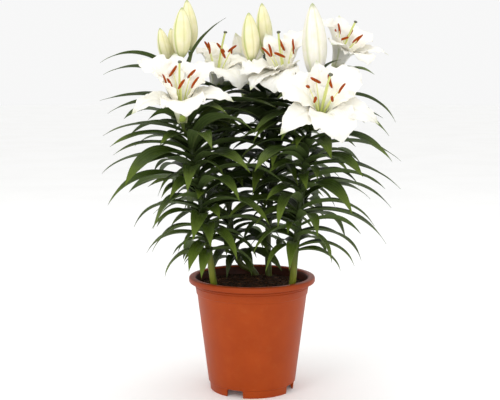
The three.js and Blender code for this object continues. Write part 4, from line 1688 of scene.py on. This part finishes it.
# %% One anther and one stigma to copy
deselect()
bpy.ops.mesh.primitive_uv_sphere_add(segments=20, ring_count=14, radius=1)
anther_blank = named("anther_blank")
pod = corners(anther_blank)
round_about = np.arctan2(pod[:, 1], pod[:, 0])
along_pod = pod[:, 2]
girth = STAMEN["anther_radius"] * 0.84 * (1 - np.abs(along_pod) ** 3.2).clip(0) ** 0.5
furrow = 1 - 0.3 * np.exp(-((np.abs(round_about) / 0.42) ** 2))
furrow = furrow - 0.2 * np.exp(-(((np.pi - np.abs(round_about)) / 0.4) ** 2))
put(
    anther_blank,
    np.stack(
        [
            girth * furrow * np.cos(round_about) * 0.8 + 1.1 * along_pod**2,
            girth * furrow * np.sin(round_about),
            along_pod * STAMEN["anther"] / 2,
        ],
        axis=-1,
    ),
)

deselect()
bpy.ops.mesh.primitive_uv_sphere_add(segments=36, ring_count=16, radius=1)
stigma_blank = named("stigma_blank")
knob = corners(stigma_blank)
round_about = np.arctan2(knob[:, 1], knob[:, 0])
lobes = 0.7 + 0.26 * np.abs(np.cos(1.5 * round_about)) ** 0.8
dimple = 1.2 * np.exp(-((np.hypot(knob[:, 0], knob[:, 1]) / 0.35) ** 2))
put(
    stigma_blank,
    np.stack(
        [
            knob[:, 0] * PISTIL["stigma"] * lobes,
            knob[:, 1] * PISTIL["stigma"] * lobes,
            knob[:, 2] * 2.1 - dimple * (knob[:, 2] > 0),
        ],
        axis=-1,
    ),
)
print("anther and stigma vertices:", len(pod), len(knob))

# %% Place them in each bloom
FILAMENT_ROOT = 9
filament_sets, anther_sets, pistils = [], [], []
for n, bloom in enumerate(BLOOMS):
    plan, style, top = stamen_plan(n)
    rods, pods = [], []
    for path, end, lie in plan:
        foot = path(0) * [0.55, 0.55, 0] + [0, 0, FILAMENT_ROOT]
        rising = bezier(foot, path(0.3), path(0.55), end)
        whole_path = lambda share: in_bloom(bloom, rising(share))
        rod, places = drawn_along("filament", whole_path, lambda share: mix(1.25, 0.5, share), 22, 3)
        mark(rod, "along", np.linalg.norm(places - in_bloom(bloom, foot), axis=1) / 60)
        rods.append(rod)
        outwards = unit(end * [1, 1, 0])
        side = unit(np.cross(lie, outwards))
        ways = np.array([np.cross(side, lie), side, lie])
        piece = copied(anther_blank, "anther")
        put(piece, in_bloom(bloom, corners(anther_blank) / MM @ ways + end))
        pods.append(piece)
    root = np.array([0, 0, FILAMENT_ROOT])
    whole_style = lambda share: in_bloom(bloom, bezier(root, style(0.35), style(0.7), top)(share))
    narrowing = lambda share: mix(2.3, 1.5, smooth(share, 0, 0.3))
    rod, places = drawn_along("style", whole_style, narrowing, 30, 4)
    mark(rod, "along", 0.5)
    rods.append(rod)
    filaments = joined(f"{bloom['name']}_filaments", rods)
    anthers = joined(f"{bloom['name']}_anthers", pods)
    stigma = copied(stigma_blank, f"{bloom['name']}_stigma")
    put(stigma, in_bloom(bloom, corners(stigma_blank) / MM + top))
    for piece in (filaments, anthers, stigma):
        smooth_shaded(piece, 60)
        stands_for(piece, "stamen", f"bloom_{bloom['name']}_stamens")
    filament_sets.append(filaments)
    anther_sets.append(anthers)
    pistils.append(stigma)
for blank in (anther_blank, stigma_blank):
    bpy.data.objects.remove(blank)
print("stamen faces:", [len(anthers.data.polygons) for anthers in anther_sets])

# %% [markdown]
# ## The finishes of the stamens and pistils
# Filaments and styles are pale green, and a filament is palest at its anther.
# Pollen is a dry powder that hides any gloss, so the anthers are rough, and fine
# grains show in their colour and their relief. A stigma is olive and sticky,
# which a thin clear coat shows better than a lower roughness would.

# %% Filament green, pollen orange and stigma olive
def filament_green():
    finish = Finish("filament_green", 0.45)
    along = finish.attribute("along")
    blotches = finish.speckle(300, detail=2)
    base = finish.blended(along.between(0.1, 0.9), colour(178, 192, 96), colour(222, 224, 150))
    base = finish.blended(blotches.between(0.4, 0.8) * 0.3, base, colour(200, 206, 110))
    finish.feed("Base Color", base)
    return finish.material


def pollen_orange():
    finish = Finish("pollen_orange", 0.9, specular_ior_level=0.1)
    grains = finish.speckle(3200, detail=2)
    patches = finish.speckle(230, detail=3)
    base = finish.blended(patches.between(0.3, 0.7), colour(150, 60, 16), colour(168, 78, 22))
    finish.feed("Base Color", finish.blended(grains.between(0.45, 0.7) * 0.5, base, colour(116, 38, 8)))
    finish.relief(grains, 0.3, 0.8)
    return finish.material


def stigma_olive():
    finish = Finish("stigma_olive", 0.35, coat_weight=0.4, coat_roughness=0.2)
    patches = finish.speckle(500, detail=3)
    base = finish.blended(patches.between(0.3, 0.7), colour(58, 60, 42), colour(92, 94, 62))
    finish.feed("Base Color", base)
    finish.relief(patches, 0.25, 0.5)
    return finish.material


wear(filament_green(), *filament_sets)
wear(pollen_orange(), *anther_sets)
wear(stigma_olive(), *pistils)

# %% [markdown]
# ## The buds
# A closed bud is three outer tepals folded round three inner ones. From outside
# that is a long pod with three raised ribs and a seam between each two, twisted a
# little, and blunt at the tip where the tepals meet. A ball has its rings where
# such a pod needs them, so each bud is a ball drawn out along its axis.

# %% The buds
def bud_form(bud, shares, turns):
    """Places on the bud, by share of its length and turn round it, and how far from a rib."""
    twisted = turns + 0.25 * shares
    from_rib = np.abs((twisted * 3 / (2 * np.pi) + 0.5) % 1 - 0.5) * 2
    belly = smooth(shares, 0.03, 0.3) * smooth(shares, 1.0, 0.9)
    rib = 0.045 * np.exp(-((from_rib / 0.16) ** 2)) * belly
    seam = 0.075 * np.exp(-(((1 - from_rib) / 0.1) ** 2)) * belly
    soft = 0.03 * np.cos(3 * twisted) * belly
    radius = bud_radius(bud, shares) * (1 + rib - seam + soft)
    radius = radius * np.where((shares < 1e-6) | (shares > 1 - 1e-6), 0, 1)
    x, y = radius * np.cos(turns), radius * np.sin(turns)
    return np.stack([x, y, shares * bud["length"]], axis=-1), from_rib


buds = []
for bud in BUDS:
    deselect()
    bpy.ops.mesh.primitive_uv_sphere_add(segments=72, ring_count=48, radius=1)
    piece = named(f"{bud['name']}_bud")
    ball = corners(piece)
    shares = (np.arcsin(ball[:, 2].clip(-1, 1)) / np.pi + 0.5).clip(0, 1)
    turns = np.arctan2(ball[:, 1], ball[:, 0])
    places, from_rib = bud_form(bud, shares, turns)
    upright = np.array(Vector((0, 0, 1)).rotation_difference(Vector(bud["axis"])).to_matrix())
    put(piece, places @ upright.T + np.array(bud["base"], float))
    mark(piece, "along", shares)
    mark(piece, "from_rib", from_rib)
    mark(piece, "ripe", bud["radius"] > 15)
    smooth_shaded(piece, 60)
    stands_for(piece, "bud", f"bud_{bud['name']}")
    buds.append(piece)
print("bud faces:", [len(piece.data.polygons) for piece in buds])

# %% [markdown]
# ## The finish of a bud
# A young bud is cream and a ripe one nearly white, with green ribs, base and tip.
# Each vertex holds its share along the bud and how far it is from a rib, so the
# green follows the ribs however the bud leans and twists. A pattern in space
# would have to be turned and placed for every bud.

# %% Bud cream
def bud_cream():
    finish = Finish("bud_cream", 0.42, subsurface_weight=0.15, subsurface_scale=0.004)
    finish.feed("Subsurface Radius", (1.0, 0.9, 0.75))
    along = finish.attribute("along")
    from_rib = finish.attribute("from_rib")
    ripe = finish.attribute("ripe")
    cloudy = finish.speckle(80, detail=3)
    streaks = finish.speckle(500, detail=2, stretch=(1, 1, 0.08))
    rib = 1 - from_rib.between(0.02, 0.22)
    seam = from_rib.between(0.8, 1.0)
    young = finish.blended(cloudy.between(0.3, 0.7), colour(236, 230, 195), colour(230, 225, 175))
    old = finish.blended(cloudy.between(0.3, 0.7), colour(238, 233, 225), colour(232, 229, 211))
    base = finish.blended(ripe, young, old)
    base = finish.blended(streaks.between(0.45, 0.8) * 0.2, base, colour(208, 209, 143))
    base = finish.blended(rib * 0.75 * (1 - 0.5 * ripe), base, colour(170, 182, 88))
    base = finish.blended(seam * 0.35, base, colour(205, 204, 131))
    base = finish.blended(along.between(0.9, 1.0) * 0.8, base, colour(130, 147, 67))
    base = finish.blended((1 - along.between(0.0, 0.16)) * 0.8, base, colour(149, 165, 80))
    finish.feed("Base Color", base)
    finish.relief(streaks, 0.2, 0.4)
    return finish.material


wear(bud_cream(), *buds)

# %% [markdown]
# ## Floor, light and camera
# The plant stands on a plain pale floor in soft studio light: a large key light
# in front on the left, a weaker one on the right, one from above and a pale sky.
# The camera stands where the photograph was taken from: about a metre and a half
# away, as high as the open blooms, looking slightly down.

# %% Floor, with its radius in metres
FLOOR_RADIUS = 14


def floor_pale():
    finish = Finish("floor_pale", 0.8, emission_strength=0.04)
    finish.feed("Emission Color", colour(255, 255, 255))
    cloudy = finish.speckle(3, detail=3)
    base = finish.blended(cloudy.between(0.3, 0.7), colour(248, 248, 247), colour(251, 251, 250))
    finish.feed("Base Color", base)
    return finish.material


deselect()
bpy.ops.mesh.primitive_circle_add(vertices=96, radius=FLOOR_RADIUS, fill_type="NGON")
floor = named("floor")
wear(floor_pale(), floor)

# %% Light
world = bpy.data.worlds.new("studio")
world.use_nodes = True
world.node_tree.nodes["Background"].inputs["Color"].default_value = colour(252, 252, 252)
world.node_tree.nodes["Background"].inputs["Strength"].default_value = 0.96
bpy.context.scene.world = world
bpy.context.scene.view_settings.view_transform = "Standard"


def softbox(name, place, target, size, power):
    deselect()
    bpy.ops.object.light_add(type="AREA", location=place)
    lamp = named(name)
    lamp.data.shape = "SQUARE"
    lamp.data.size = size
    lamp.data.energy = power
    lamp.rotation_euler = (Vector(target) - Vector(place)).to_track_quat("-Z", "Y").to_euler()


# Places and sizes in metres, power in watts
LAMPS = [
    {"name": "key_light", "place": (-1.3, -1.7, 1.5), "target": (0, 0, 0.35), "size": 1.0, "power": 13},
    {"name": "fill_light", "place": (0.7, -2.1, 0.4), "target": (0, 0, 0.35), "size": 1.4, "power": 11.5},
    {"name": "top_light", "place": (0, 0.3, 2.2), "target": (0, 0, 0.3), "size": 1.4, "power": 10},
]
for lamp in LAMPS:
    softbox(**lamp)
print("lamps:", [lamp["name"] for lamp in LAMPS])

# %% Camera
CAMERA = {"place": (-3, -1540, 477), "down": 7.04, "focal_px": 1036.9, "width_px": 500, "sensor": 36}
deselect()
bpy.ops.object.camera_add(
    location=[part * MM for part in CAMERA["place"]],
    rotation=(math.radians(90 - CAMERA["down"]), 0, 0),
)
camera = named("camera")
camera.data.sensor_width = CAMERA["sensor"]
camera.data.lens = CAMERA["sensor"] * CAMERA["focal_px"] / CAMERA["width_px"]
bpy.context.scene.camera = camera
print("lens in millimetres:", round(camera.data.lens, 2))
